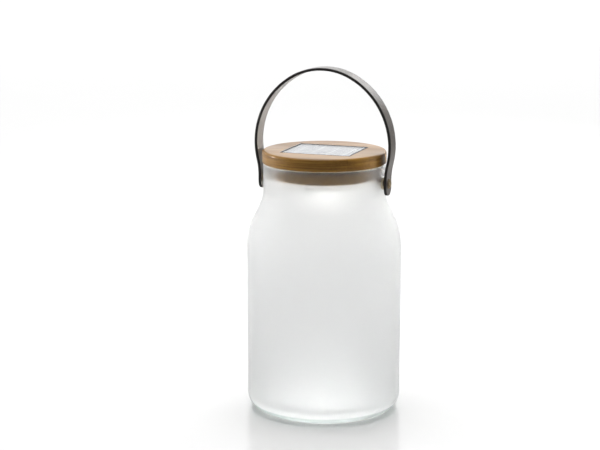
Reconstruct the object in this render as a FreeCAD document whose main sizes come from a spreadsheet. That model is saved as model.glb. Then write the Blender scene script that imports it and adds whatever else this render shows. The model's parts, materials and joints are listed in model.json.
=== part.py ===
import FreeCAD
import Part
import Sketcher
import os
import re

# A frosted jar lantern: a glass jar with a leather carrying strap, and a bamboo plug lid that
# holds a solar panel above and a light module below. Millimetres and degrees, +Z up, with the
# origin at the middle of the jar's base and the strap's arch in the XZ plane.

SIZES = {
    # Glass jar
    "jar_radius": 57.5,
    "jar_height": 186.0,
    "jar_wall": 3.0,
    "jar_floor": 7.0,
    "jar_corner": 11.0,
    "shoulder_radius": 48.0,
    "shoulder_straight": 11.8,
    "neck_fillet": 26.0,
    "neck_radius": 45.3,
    "neck_height": 19.6,
    "rim_round": 0.9,
    # Lid
    "lid_overhang": 0.7,
    "lid_thickness": 9.1,
    "lid_top_round": 1.8,
    "lid_bottom_round": 0.8,
    "plug_gap": 3.0,
    "plug_depth": 11.1,
    "plug_chamfer": 0.6,
    "seal_flange": 0.6,
    "seal_overhang": 0.3,
    "seal_depth": 2.6,
    "seal_taper": 0.6,
    "seal_clearance": 0.1,
    "fit_gap": 0.05,
    # Solar panel
    "panel_length": 53.0,
    "panel_width": 45.0,
    "panel_gap": 0.4,
    "panel_drop": 0.2,
    "panel_cover_thickness": 0.75,
    "cell_thickness": 0.25,
    "cell_margin": 1.5,
    "cell_gap": 0.6,
    "cell_count": 4,
    "backing_thickness": 0.9,
    "tape_thickness": 0.5,
    "tape_width": 6.0,
    "lead_radius": 0.6,
    "lead_spacing": 4.0,
    "lead_offset": 14.0,
    "lead_hole_radius": 4.0,
    # Light module
    "web_thickness": 2.0,
    "plug_wall": 6.0,
    "housing_gap": 0.2,
    "housing_wall": 1.6,
    "housing_flange": 1.5,
    "housing_flange_inset": 1.5,
    "housing_screw_count": 3,
    "boss_radius": 3.0,
    "boss_inset": 5.4,
    "boss_count": 3,
    "board_thickness": 1.2,
    "board_gap": 1.4,
    "battery_radius": 5.25,
    "battery_length": 43.5,
    "battery_nub_radius": 1.9,
    "battery_nub_length": 1.0,
    "battery_gap": 0.3,
    "contact_thickness": 0.4,
    "contact_width": 8.0,
    "contact_reach": 2.0,
    "holder_floor": 0.7,
    "holder_wall": 1.0,
    "holder_height": 6.0,
    "cover_floor": 1.8,
    "cover_rim_drop": 0.5,
    "cover_rim_wall": 1.5,
    "cover_gap": 0.2,
    "lens_radius": 11.8,
    "lens_flange_width": 1.8,
    "lens_flange": 1.0,
    "lens_sag": 5.0,
    "lens_wall": 1.3,
    "lens_gap": 0.2,
    "reflector_gap": 0.2,
    "led_length": 3.5,
    "led_width": 2.8,
    "led_height": 0.9,
    "led_circle": 4.2,
    "led_count": 4,
    "coil_radius": 3.0,
    "coil_height": 3.5,
    "chip_length": 4.0,
    "chip_width": 3.0,
    "chip_height": 1.2,
    "component_inset": 14.5,
    "component_spacing": 8.0,
    # Slide switch
    "switch_length": 9.0,
    "switch_width": 5.0,
    "switch_height": 3.5,
    "switch_roof": 1.0,
    "switch_inset": 9.5,
    "switch_travel": 2.0,
    "slider_length": 2.4,
    "slider_width": 2.0,
    "slider_gap": 0.3,
    "knob_length": 4.0,
    "knob_width": 3.2,
    "knob_height": 1.8,
    # Screws of the module
    "screw_radius": 1.1,
    "screw_head_radius": 2.2,
    "screw_head_height": 1.1,
    "screw_slack": 0.2,
    "cover_screw_grip": 7.0,
    "housing_screw_length": 8.0,
    # Leather strap
    "strap_width": 13.5,
    "strap_thickness": 2.0,
    "strap_tip": 8.5,
    "strap_tip_flat": 0.4,
    "strap_leg_straight": 2.0,
    "arch_rise": 27.0,
    "arch_flare": 3.0,
    "arch_height": 55.7,
    "crown_angle": 61.0,
    # Rivets of the strap
    "rivet_drop": 2.5,
    "post_radius": 2.4,
    "post_clearance": 0.08,
    "rivet_head_radius": 3.8,
    "rivet_head_height": 1.6,
    "stack_gap": 0.1,
    "spacer_radius": 4.4,
    "spacer_thickness": 1.5,
    "grommet_wall": 0.9,
    "grommet_flange": 1.1,
    "grommet_slack": 0.1,
    "inner_washer_radius": 4.0,
    "inner_washer_thickness": 0.8,
    "inner_washer_seat": 0.3,
    "rivet_screw_radius": 1.4,
    "rivet_screw_head_radius": 3.5,
    "rivet_screw_head_height": 1.3,
    "rivet_screw_depth": 5.0,
    "rivet_slot_width": 0.8,
    "rivet_slot_depth": 0.6,
}

# Places that follow from the sizes, written in the names of the sizes. The shoulder is two arcs
# with a straight stretch between them, and its slope is the one that joins the body to the neck.
SHOULDER_ARCS = "(shoulder_radius + neck_fillet)"
SHOULDER_DRAW = f"({SHOULDER_ARCS} - (jar_radius - neck_radius))"
SHOULDER_SLOPE = (f"(acos({SHOULDER_DRAW} / sqrt({SHOULDER_ARCS} ^ 2 + shoulder_straight ^ 2))"
                  f" - atan(shoulder_straight / {SHOULDER_ARCS}))")
RISE = f"sin({SHOULDER_SLOPE})"
RUN = f"cos({SHOULDER_SLOPE})"
NECK_START = "(jar_height - neck_height)"
FILLET_START = f"({NECK_START} - neck_fillet * {RISE})"
FILLET_RADIUS = f"(neck_radius + neck_fillet * (1 - {RUN}))"
SHOULDER_END = f"({FILLET_START} - shoulder_straight * {RUN})"
SHOULDER_END_RADIUS = f"({FILLET_RADIUS} + shoulder_straight * {RISE})"
SHOULDER_START = f"({SHOULDER_END} - shoulder_radius * {RISE})"
NECK_BORE = "(neck_radius - jar_wall)"

LID_RADIUS = "(neck_radius + lid_overhang)"
LID_BOTTOM = "(jar_height + seal_flange)"
LID_TOP = f"({LID_BOTTOM} + lid_thickness)"
PLUG_RADIUS = f"({NECK_BORE} - plug_gap)"
PLUG_BOTTOM = f"({LID_BOTTOM} - plug_depth)"
CAVITY_RADIUS = f"({PLUG_RADIUS} - plug_wall)"

PANEL_TOP = f"({LID_TOP} - panel_drop)"
CELL_TOP = f"({PANEL_TOP} - panel_cover_thickness)"
BACKING_TOP = f"({CELL_TOP} - cell_thickness)"
TAPE_TOP = f"({BACKING_TOP} - backing_thickness)"
RECESS_FLOOR = f"({TAPE_TOP} - tape_thickness)"

ROOF_TOP = f"({RECESS_FLOOR} - web_thickness)"
ROOF_BOTTOM = f"({ROOF_TOP} - housing_wall)"
HOUSING_RADIUS = f"({CAVITY_RADIUS} - housing_gap)"
HOUSING_BORE = f"({HOUSING_RADIUS} - housing_wall)"
FLANGE_RADIUS = f"({PLUG_RADIUS} - housing_flange_inset)"
FLANGE_BOTTOM = f"({PLUG_BOTTOM} - housing_flange)"
BATTERY_AXIS = f"({ROOF_BOTTOM} - battery_gap - battery_radius)"
BOARD_TOP = f"({BATTERY_AXIS} - battery_radius - holder_floor)"
BOARD_BOTTOM = f"({BOARD_TOP} - board_thickness)"
FLOOR_TOP = f"({BOARD_BOTTOM} - switch_height)"
COVER_BOTTOM = f"({FLOOR_TOP} - cover_floor)"
COVER_RADIUS = f"({HOUSING_BORE} - cover_gap)"
BOSS_CIRCLE = f"({HOUSING_BORE} - boss_inset)"
COMPONENT_ROW = f"({HOUSING_BORE} - component_inset)"
SWITCH_ROW = f"-({HOUSING_BORE} - switch_inset)"
LENS_FLANGE_RADIUS = "(lens_radius + lens_flange_width)"
LENS_FLANGE_TOP = f"({FLOOR_TOP} + lens_flange)"
SCREW_HOLE = "(screw_radius + screw_slack)"

PIVOT = f"({PLUG_BOTTOM} - rivet_drop)"
GROMMET_RADIUS = "(post_radius + fit_gap + grommet_wall)"
GLASS_HOLE = f"({GROMMET_RADIUS} + grommet_slack)"
GROMMET_FACE = "(neck_radius + grommet_flange)"
SPACER_FACE = f"({GROMMET_FACE} + spacer_thickness)"
STRAP_INSIDE = f"({SPACER_FACE} + stack_gap)"
STRAP_LEG = f"({STRAP_INSIDE} + strap_thickness / 2)"
HEAD_FACE = f"({STRAP_INSIDE} + strap_thickness + stack_gap)"
WASHER_FACE = f"({NECK_BORE} - inner_washer_seat)"
SCREW_FACE = f"({WASHER_FACE} - inner_washer_thickness)"
STRAP_HOLE = "(post_radius + post_clearance)"

doc = FreeCAD.newDocument("jar_lantern")
sheet = doc.addObject("Spreadsheet::Sheet", "Sizes")
for row, (size_name, size) in enumerate(SIZES.items(), start=1):
    sheet.set(f"A{row}", size_name)
    sheet.set(f"B{row}", str(size))
    sheet.setAlias(f"B{row}", size_name)
doc.recompute()

SIZE_WORDS = re.compile(r"\b(" + "|".join(SIZES) + r")\b")
NEAR = 1e-6
nodes = []


def cells(expression):
    """The expression with each size written as its cell of the sheet."""
    return SIZE_WORDS.sub(r"Sizes.\1", expression)


def value(expression):
    """The number that an expression in sizes comes to."""
    return float(sheet.evalExpression(expression))


def bind(item, **expressions):
    for prop, expression in expressions.items():
        item.setExpression(prop, cells(expression))


def place(item, x="0", y="0", z="0"):
    bind(item, **{"Placement.Base.x": x, "Placement.Base.y": y, "Placement.Base.z": z})
    return item


def node(item, label):
    """Keep a finished sub-part under the name of its file."""
    item.Label = label
    nodes.append(item)
    return item


# Part primitives and booleans


def box(name, length, width, height, x, y, z):
    """A box centred on x and y, standing on z."""
    item = doc.addObject("Part::Box", name)
    bind(item, Length=length, Width=width, Height=height)
    return place(item, f"{x} - ({length}) / 2", f"{y} - ({width}) / 2", z)


def cylinder(name, radius, height, x="0", y="0", z="0"):
    item = doc.addObject("Part::Cylinder", name)
    bind(item, Radius=radius, Height=height)
    return place(item, x, y, z)


def lying(name, radius, start, end, z, kind="Part::Cylinder", tip_radius=None):
    """A cylinder or cone that lies along X from start to end at height z."""
    item = doc.addObject(kind, name)
    item.Placement.Rotation = FreeCAD.Rotation(FreeCAD.Vector(0, 1, 0), 90)
    bind(item, Height=f"({end}) - ({start})")
    if tip_radius is None:
        bind(item, Radius=radius)
    else:
        bind(item, Radius1=radius, Radius2=tip_radius)
    return place(item, start, "0", z)


def cut(name, base, tool):
    item = doc.addObject("Part::Cut", name)
    item.Base = base
    item.Tool = tool
    return item


def fuse(name, *pieces):
    item = doc.addObject("Part::MultiFuse", name)
    item.Shapes = list(pieces)
    return item


def group(name, pieces):
    item = doc.addObject("Part::Compound", name)
    item.Links = list(pieces)
    return item


def both_sides(name, right):
    """A piece at the right-hand rivet and its mirror image at the left-hand one."""
    left = doc.addObject("Part::Mirroring", name + "_left")
    left.Source = right
    left.Normal = FreeCAD.Vector(1, 0, 0)
    return group(name, [right, left])


def around(circle, count, start_angle=90):
    """Places evenly spaced on a circle, as pairs of expressions."""
    angles = [start_angle + turn * 360 / count for turn in range(count)]
    return [(f"{circle} * cos({angle})", f"{circle} * sin({angle})") for angle in angles]


# Bodies with sketches


def origin_plane(body, role):
    return next(plane for plane in body.Origin.OriginFeatures if plane.Role == role)


def new_sketch(body, name, plane):
    sketch = body.newObject("Sketcher::SketchObject", name)
    sketch.AttachmentSupport = [(origin_plane(body, plane), "")]
    sketch.MapMode = "FlatFace"
    return sketch


def hold_radius(sketch, ring, expression):
    constraint = sketch.addConstraint(Sketcher.Constraint("Radius", ring, value(expression)))
    sketch.renameConstraint(constraint, f"Radius_{ring}")
    sketch.setExpression(f"Constraints.Radius_{ring}", cells(expression))


def arc_between(start, end, radius):
    """An arc from start to end, bulging to the right of the way there if the radius is positive."""
    chord = end - start
    middle = (start + end) * 0.5
    side = FreeCAD.Vector(chord.y, -chord.x, 0).normalize()
    height = abs(radius) - (radius ** 2 - (chord.Length / 2) ** 2) ** 0.5
    crown = middle + side * (height if radius > 0 else -height)
    return Part.Arc(start, crown, end)


def pin_coordinate(sketch, kind, axis, line, end, expression):
    """Hold one coordinate of a line's end at an expression in sizes."""
    number = value(expression)
    if abs(number) < NEAR:
        sketch.addConstraint(Sketcher.Constraint("PointOnObject", line, end, axis))
        return
    constraint = sketch.addConstraint(Sketcher.Constraint(kind, -1, 1, line, end, number))
    name = f"{kind}_{line}"
    sketch.renameConstraint(constraint, name)
    sketch.setExpression(f"Constraints.{name}", cells(expression))


def outline(body, name, plane, corners):
    """A closed sketch through corners of (x, y) or (x, y, radius of the arc to the next corner)."""
    sketch = new_sketch(body, name, plane)
    points = [FreeCAD.Vector(value(corner[0]), value(corner[1]), 0) for corner in corners]
    ends = []
    for corner, start, end in zip(corners, points, points[1:] + points[:1]):
        if len(corner) == 2:
            line = sketch.addGeometry(Part.LineSegment(start, end))
        else:
            line = sketch.addGeometry(arc_between(start, end, value(corner[2])))
        first = 1 if sketch.getPoint(line, 1).isEqual(start, NEAR) else 2
        ends.append((line, first, 3 - first))
    for index, (line, first, last) in enumerate(ends):
        next_line, next_first, _ = ends[(index + 1) % len(ends)]
        sketch.addConstraint(Sketcher.Constraint("Coincident", line, last, next_line, next_first))
        corner = corners[index]
        pin_coordinate(sketch, "DistanceX", -2, line, first, corner[0])
        pin_coordinate(sketch, "DistanceY", -1, line, first, corner[1])
        if len(corner) == 3:
            hold_radius(sketch, line, f"abs({corner[2]})")
    return sketch


def circles(body, name, plane, places):
    """A sketch of circles given as (x, y, radius)."""
    sketch = new_sketch(body, name, plane)
    for x, y, radius in places:
        centre = FreeCAD.Vector(value(x), value(y), 0)
        ring = sketch.addGeometry(Part.Circle(centre, FreeCAD.Vector(0, 0, 1), value(radius)))
        pin_coordinate(sketch, "DistanceX", -2, ring, 3, x)
        pin_coordinate(sketch, "DistanceY", -1, ring, 3, y)
        hold_radius(sketch, ring, radius)
    return sketch


def turned(name, corners):
    """A body turned about Z from an outline of (radius, height) corners."""
    body = doc.addObject("PartDesign::Body", name)
    profile = outline(body, name + "_profile", "XZ_Plane", corners)
    turning = body.newObject("PartDesign::Revolution", name + "_turning")
    turning.Profile = profile
    turning.ReferenceAxis = (profile, ["V_Axis"])
    doc.recompute()
    return body


def turn_out(body, name, corners):
    """Cut a turned hollow out of a body."""
    profile = outline(body, name + "_profile", "XZ_Plane", corners)
    groove = body.newObject("PartDesign::Groove", name)
    groove.Profile = profile
    groove.ReferenceAxis = (profile, ["V_Axis"])
    finish_cut(body, groove)


def finish_cut(body, feature):
    before = feature.BaseFeature.Shape.Volume
    doc.recompute()
    if not feature.Shape.Volume < before:
        raise RuntimeError(f"{feature.Name} cuts nothing from {body.Name}")


def drill(body, name, plane, places, start, depth):
    """Holes given as (x, y, radius), from start along the plane's normal to start + depth."""
    sketch = circles(body, name + "_layout", plane, places)
    pocket_from(body, name, sketch, start, depth)


def pocket_from(body, name, sketch, start, depth):
    sketch.setExpression("AttachmentOffset.Base.z", cells(f"{start} + {depth}"))
    pocket = body.newObject("PartDesign::Pocket", name)
    pocket.Profile = sketch
    pocket.Type = "Length"
    bind(pocket, Length=depth)
    finish_cut(body, pocket)


def edges_where(shape, test):
    return [f"Edge{number}" for number, edge in enumerate(shape.Edges, start=1) if test(edge)]


def rounded_edges(body, name, kind, size_prop, size, test):
    """A fillet or chamfer on the edges of the body's tip that pass the test."""
    base = body.Tip
    feature = body.newObject(kind, name)
    feature.Base = (base, edges_where(base.Shape, test))
    bind(feature, **{size_prop: size})
    doc.recompute()


def ring_at(radius, height):
    """A test for the circular edge of this radius and height about Z."""
    def test(edge):
        curve = edge.Curve
        if not isinstance(curve, Part.Circle):
            return False
        on_axis = abs(curve.Center.x) + abs(curve.Center.y) < NEAR
        size_fits = abs(curve.Radius - value(radius)) < NEAR
        return on_axis and size_fits and abs(curve.Center.z - value(height)) < NEAR
    return test


# Glass jar


def jar_outside():
    return [
        ("0", "0"),
        ("jar_radius - jar_corner", "0", "jar_corner"),
        ("jar_radius", "jar_corner"),
        ("jar_radius", SHOULDER_START, "shoulder_radius"),
        (SHOULDER_END_RADIUS, SHOULDER_END),
        (FILLET_RADIUS, FILLET_START, "-neck_fillet"),
        ("neck_radius", NECK_START),
        ("neck_radius", "jar_height - rim_round", "rim_round"),
        ("neck_radius - rim_round", "jar_height"),
        ("0", "jar_height"),
    ]


def jar_hollow():
    """The inside of the jar: the outside moved in by the wall, above the thick floor."""
    inner_corner = "(jar_corner - jar_wall)"
    inside = "(jar_radius - jar_wall)"
    step = f"jar_wall * {RUN}"
    drop = f"jar_wall * {RISE}"
    return [
        ("0", "jar_floor"),
        (f"{inside} - {inner_corner}", "jar_floor", inner_corner),
        (inside, f"jar_floor + {inner_corner}"),
        (inside, SHOULDER_START, "shoulder_radius - jar_wall"),
        (f"{SHOULDER_END_RADIUS} - {step}", f"{SHOULDER_END} - {drop}"),
        (f"{FILLET_RADIUS} - {step}", f"{FILLET_START} - {drop}", "-(neck_fillet + jar_wall)"),
        (NECK_BORE, NECK_START),
        (NECK_BORE, "jar_height - rim_round", "-rim_round"),
        (f"{NECK_BORE} + rim_round", "jar_height"),
        ("0", "jar_height"),
    ]


glass_jar = turned("glass_jar", jar_outside())
turn_out(glass_jar, "jar_inside", jar_hollow())
drill(glass_jar, "rivet_holes", "YZ_Plane", [("0", PIVOT, GLASS_HOLE)], "-jar_radius", "2 * jar_radius")
node(glass_jar, "glass_jar")

# Rivets, washers and grommets that carry the strap

post = lying("post", "post_radius", f"{SCREW_FACE} + stack_gap", HEAD_FACE, PIVOT)
DOME_RADIUS = "((rivet_head_radius ^ 2 + rivet_head_height ^ 2) / (2 * rivet_head_height))"
head_dome = doc.addObject("Part::Sphere", "head_dome")
bind(head_dome, Radius=DOME_RADIUS)
place(head_dome, f"{HEAD_FACE} + rivet_head_height - {DOME_RADIUS}", "0", PIVOT)
head_stock = lying("head_stock", "rivet_head_radius", HEAD_FACE, f"{HEAD_FACE} + rivet_head_height", PIVOT)
rivet_head = doc.addObject("Part::Common", "rivet_head")
rivet_head.Base = head_stock
rivet_head.Tool = head_dome
post_bore = lying("post_bore", "rivet_screw_radius + fit_gap", SCREW_FACE,
                  f"{SCREW_FACE} + rivet_screw_depth + stack_gap", PIVOT)
rivet_post = cut("rivet_post", fuse("post_and_head", post, rivet_head), post_bore)
node(both_sides("rivet_posts", rivet_post), "rivet_posts")

screw_shank = lying("rivet_screw_shank", "rivet_screw_radius", SCREW_FACE,
                    f"{SCREW_FACE} + rivet_screw_depth", PIVOT)
SCREW_TOP = f"({SCREW_FACE} - rivet_screw_head_height)"
screw_head = lying("rivet_screw_head", "rivet_screw_head_radius", SCREW_TOP, SCREW_FACE, PIVOT)
screw_slot = box("rivet_screw_slot", "rivet_slot_depth", "2 * rivet_screw_head_radius", "rivet_slot_width",
                 f"{SCREW_TOP} + rivet_slot_depth / 2", "0", f"{PIVOT} - rivet_slot_width / 2")
rivet_screw = cut("rivet_screw", fuse("rivet_screw_blank", screw_shank, screw_head), screw_slot)
node(both_sides("rivet_screws", rivet_screw), "rivet_screws")

washer_disc = lying("inner_washer_disc", "inner_washer_radius", SCREW_FACE, WASHER_FACE, PIVOT)
washer_bore = lying("inner_washer_bore", "post_radius + fit_gap", SCREW_FACE, WASHER_FACE, PIVOT)
inner_washer = cut("inner_washer", washer_disc, washer_bore)
node(both_sides("inner_washers", inner_washer), "inner_washers")

spacer_disc = lying("spacer_disc", "spacer_radius", GROMMET_FACE, SPACER_FACE, PIVOT)
spacer_bore = lying("spacer_bore", "post_radius + fit_gap", GROMMET_FACE, SPACER_FACE, PIVOT)
spacer = cut("spacer", spacer_disc, spacer_bore)
node(both_sides("spacer_washers", spacer), "spacer_washers")

grommet_flange = lying("grommet_flange_disc", "spacer_radius", f"{GROMMET_FACE} - 2 * grommet_flange",
                       GROMMET_FACE, PIVOT)
grommet_ring = cut("grommet_ring", grommet_flange, glass_jar)
grommet_sleeve = lying("grommet_sleeve", GROMMET_RADIUS, WASHER_FACE, GROMMET_FACE, PIVOT)
grommet_bore = lying("grommet_bore", "post_radius + fit_gap", WASHER_FACE, GROMMET_FACE, PIVOT)
grommet = cut("grommet", fuse("grommet_blank", grommet_ring, grommet_sleeve), grommet_bore)
node(both_sides("hole_grommets", grommet), "hole_grommets")

# Leather strap: two legs that flare outwards and an arch of three tangent arcs

ARCH_START = f"({PIVOT} + strap_leg_straight)"
ARCH_WIDEST = f"({PIVOT} + arch_rise)"
ARCH_WIDTH = f"({STRAP_LEG} + arch_flare)"
FLARE_LENGTH = "(arch_rise - strap_leg_straight)"
FLARE_ANGLE = f"(2 * atan(arch_flare / {FLARE_LENGTH}))"
FLARE_RADIUS = f"({FLARE_LENGTH} / (2 * sin({FLARE_ANGLE})))"
CROWN_RISE = "sin(crown_angle)"
CROWN_RUN = "cos(crown_angle)"
CROWN_SPARE = f"({CROWN_RISE} + {CROWN_RUN} - 1)"
SIDE_RADIUS = f"((arch_height * {CROWN_RUN} - {ARCH_WIDTH} * (1 - {CROWN_RISE})) / {CROWN_SPARE})"
CROWN_RADIUS = f"(({ARCH_WIDTH} * {CROWN_RISE} - arch_height * (1 - {CROWN_RUN})) / {CROWN_SPARE})"


def strap_edge(offset):
    """Corners up one leg of the strap to its crown, on a line set off from its middle."""
    return [
        (f"{STRAP_LEG} + {offset}", f"{PIVOT} - strap_tip"),
        (f"{STRAP_LEG} + {offset}", ARCH_START, f"-({FLARE_RADIUS} - {offset})"),
        (f"{STRAP_LEG} + arch_flare / 2 + {offset} * cos({FLARE_ANGLE})",
         f"({ARCH_START} + {ARCH_WIDEST}) / 2 - {offset} * sin({FLARE_ANGLE})",
         f"{FLARE_RADIUS} + {offset}"),
        (f"{ARCH_WIDTH} + {offset}", ARCH_WIDEST, f"{SIDE_RADIUS} + {offset}"),
        (f"({CROWN_RADIUS} + {offset}) * {CROWN_RUN}",
         f"{ARCH_WIDEST} + arch_height - {CROWN_RADIUS} + ({CROWN_RADIUS} + {offset}) * {CROWN_RISE}",
         f"{CROWN_RADIUS} + {offset}"),
    ]


def down_the_left(corners):
    """The mirror image of an edge, from its crown down to the other tip."""
    radii = [corner[2] if len(corner) == 3 else None for corner in corners]
    way_down = []
    for index in range(len(corners) - 1, -1, -1):
        x, z = corners[index][:2]
        radius = radii[index - 1] if index > 0 else None
        way_down.append((f"-({x})", z, radius) if radius else (f"-({x})", z))
    return way_down


def backwards(corners):
    """The same closed stretch run the other way, with its arcs bulging to the other side."""
    way_back = []
    for index in range(len(corners) - 1, -1, -1):
        x, z = corners[index][:2]
        before = corners[index - 1] if index > 0 else ()
        way_back.append((x, z, f"-({before[2]})") if len(before) == 3 else (x, z))
    return way_back


outer_up = strap_edge("strap_thickness / 2")
inner_up = strap_edge("(-strap_thickness / 2)")
strap_outside = outer_up + down_the_left(outer_up)
strap_inside = backwards(inner_up + down_the_left(inner_up))

leather_strap = doc.addObject("PartDesign::Body", "leather_strap")
strap_profile = outline(leather_strap, "strap_profile", "XZ_Plane", strap_outside + strap_inside)
strap_band = leather_strap.newObject("PartDesign::Pad", "strap_band")
strap_band.Profile = strap_profile
strap_band.SideType = "Symmetric"
bind(strap_band, Length="strap_width")
doc.recompute()
drill(leather_strap, "strap_holes", "YZ_Plane", [("0", PIVOT, STRAP_HOLE)],
      f"-{HEAD_FACE}", f"2 * {HEAD_FACE}")


def tip_corner(edge):
    """True for the edges through the leather's thickness at the corners of the two tips."""
    low, high = edge.BoundBox.ZMin, edge.BoundBox.ZMax
    at_tip = max(abs(low - value(f"{PIVOT} - strap_tip")), abs(high - low)) < NEAR
    return at_tip and edge.BoundBox.YLength < NEAR


rounded_edges(leather_strap, "strap_tips", "PartDesign::Fillet", "Radius",
              "strap_width / 2 - strap_tip_flat", tip_corner)
node(leather_strap, "leather_strap")

# Bamboo lid: a disc let in for the panel above and the module below, and the plug ring glued under it

bamboo_disc = turned("bamboo_disc", [
    ("0", ROOF_TOP),
    (CAVITY_RADIUS, ROOF_TOP),
    (CAVITY_RADIUS, LID_BOTTOM),
    (LID_RADIUS, LID_BOTTOM),
    (LID_RADIUS, LID_TOP),
    ("0", LID_TOP),
])
rounded_edges(bamboo_disc, "lid_top_edge", "PartDesign::Fillet", "Radius", "lid_top_round",
              ring_at(LID_RADIUS, LID_TOP))
rounded_edges(bamboo_disc, "lid_bottom_edge", "PartDesign::Fillet", "Radius", "lid_bottom_round",
              ring_at(LID_RADIUS, LID_BOTTOM))


def panel_corners(margin):
    half_length = f"(panel_length / 2 + {margin})"
    half_width = f"(panel_width / 2 + {margin})"
    return [
        (f"-{half_length}", f"-{half_width}"),
        (half_length, f"-{half_width}"),
        (half_length, half_width),
        (f"-{half_length}", half_width),
    ]


recess = outline(bamboo_disc, "panel_recess_outline", "XY_Plane", panel_corners("panel_gap"))
pocket_from(bamboo_disc, "panel_recess", recess, RECESS_FLOOR, f"{LID_TOP} - {RECESS_FLOOR}")
LEAD_HOLE = [("0", "-lead_offset", "lead_hole_radius")]
drill(bamboo_disc, "lead_passage", "XY_Plane", LEAD_HOLE, ROOF_TOP, "web_thickness")
node(bamboo_disc, "bamboo_disc")

bamboo_plug = turned("bamboo_plug", [
    (CAVITY_RADIUS, PLUG_BOTTOM),
    (PLUG_RADIUS, PLUG_BOTTOM),
    (PLUG_RADIUS, LID_BOTTOM),
    (CAVITY_RADIUS, LID_BOTTOM),
])
rounded_edges(bamboo_plug, "plug_lead_in", "PartDesign::Chamfer", "Size", "plug_chamfer",
              ring_at(PLUG_RADIUS, PLUG_BOTTOM))
housing_screw_places = around(f"({CAVITY_RADIUS} + {FLANGE_RADIUS}) / 2",
                              int(SIZES["housing_screw_count"]), start_angle=30)
drill(bamboo_plug, "plug_screw_holes", "XY_Plane",
      [(x, y, "screw_radius + fit_gap") for x, y in housing_screw_places],
      PLUG_BOTTOM, "housing_screw_length - housing_flange")
node(bamboo_plug, "bamboo_plug")

seal_outside = f"({NECK_BORE} - seal_clearance)"
seal_inside = f"({PLUG_RADIUS} + fit_gap)"
node(turned("lid_seal", [
    (seal_inside, "jar_height - seal_depth"),
    (f"{seal_outside} - seal_taper", "jar_height - seal_depth"),
    (seal_outside, "jar_height - seal_depth / 2"),
    (seal_outside, "jar_height"),
    ("neck_radius - seal_overhang", "jar_height"),
    ("neck_radius - seal_overhang", LID_BOTTOM),
    (seal_inside, LID_BOTTOM),
]), "lid_seal")

# Solar panel, from its cover down to the tape that holds it in the recess


def panel_layer(name, thickness, bottom):
    return node(box(name, "panel_length", "panel_width", thickness, "0", "0", bottom), name)


panel_layer("panel_cover", "panel_cover_thickness", CELL_TOP)
panel_layer("panel_backing", "backing_thickness", TAPE_TOP)

CELL_PITCH = "((panel_length - 2 * cell_margin + cell_gap) / cell_count)"
CELL_WIDTH = "(panel_width - 2 * cell_margin)"
solar_strips = []
for strip in range(int(SIZES["cell_count"])):
    middle = f"({strip} - (cell_count - 1) / 2) * {CELL_PITCH}"
    solar_strips.append(box(f"solar_strip_{strip}", f"{CELL_PITCH} - cell_gap", CELL_WIDTH,
                            "cell_thickness", middle, "0", BACKING_TOP))
node(group("solar_cells", solar_strips), "solar_cells")

tape_strips = []
leads = []
for index, side in enumerate(("-1", "1")):
    edge = f"{side} * (panel_width - tape_width) / 2"
    tape_strips.append(box(f"tape_strip_{index}", "panel_length", "tape_width", "tape_thickness",
                           "0", edge, RECESS_FLOOR))
    leads.append(cylinder(f"panel_lead_{index}", "lead_radius", f"{TAPE_TOP} - {BOARD_TOP}",
                          f"{side} * lead_spacing / 2", "-lead_offset", BOARD_TOP))
node(group("panel_tape", tape_strips), "panel_tape")
node(group("panel_leads", leads), "panel_leads")

# Module housing: a cup in the lid's cavity, with a flange under the plug and bosses for the cover screws

boss_places = around(BOSS_CIRCLE, int(SIZES["boss_count"]))

housing_cup = turned("housing_cup", [
    ("0", ROOF_BOTTOM),
    (HOUSING_BORE, ROOF_BOTTOM),
    (HOUSING_BORE, FLANGE_BOTTOM),
    (FLANGE_RADIUS, FLANGE_BOTTOM),
    (FLANGE_RADIUS, PLUG_BOTTOM),
    (HOUSING_RADIUS, PLUG_BOTTOM),
    (HOUSING_RADIUS, ROOF_TOP),
    ("0", ROOF_TOP),
])
drill(housing_cup, "roof_passage", "XY_Plane", LEAD_HOLE, ROOF_BOTTOM, "housing_wall")
drill(housing_cup, "flange_holes", "XY_Plane",
      [(x, y, SCREW_HOLE) for x, y in housing_screw_places], FLANGE_BOTTOM, "housing_flange")
bosses = []
for index, (x, y) in enumerate(boss_places):
    boss = cylinder(f"boss_{index}", "boss_radius", f"{ROOF_BOTTOM} - {BOARD_TOP}", x, y, BOARD_TOP)
    bore = cylinder(f"boss_bore_{index}", "screw_radius + fit_gap", "cover_screw_grip + stack_gap",
                    x, y, BOARD_TOP)
    bosses.append(cut(f"bored_boss_{index}", boss, bore))
node(fuse("module_housing", housing_cup, *bosses), "module_housing")

housing_screws = []
for index, (x, y) in enumerate(housing_screw_places):
    head = cylinder(f"housing_screw_head_{index}", "screw_head_radius", "screw_head_height",
                    x, y, f"{FLANGE_BOTTOM} - screw_head_height")
    shank = cylinder(f"housing_screw_shank_{index}", "screw_radius", "housing_screw_length - fit_gap",
                     x, y, FLANGE_BOTTOM)
    housing_screws.append(fuse(f"housing_screw_{index}", head, shank))
node(group("housing_screws", housing_screws), "housing_screws")

# Circuit board, what is soldered to it, and the battery

board_disc = cylinder("board_disc", f"{HOUSING_BORE} - board_gap", "board_thickness", z=BOARD_BOTTOM)
board_holes = [
    cylinder(f"board_hole_{index}", SCREW_HOLE, "board_thickness", x, y, BOARD_BOTTOM)
    for index, (x, y) in enumerate(boss_places)
]
node(cut("circuit_board", board_disc, group("board_holes", board_holes)), "circuit_board")

choke = cylinder("choke_coil", "coil_radius", "coil_height",
                 "-component_spacing", COMPONENT_ROW, BOARD_TOP)
driver_chip = box("driver_chip", "chip_length", "chip_width", "chip_height",
                  "component_spacing", COMPONENT_ROW, BOARD_TOP)
node(group("board_components", [choke, driver_chip]), "board_components")

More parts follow.
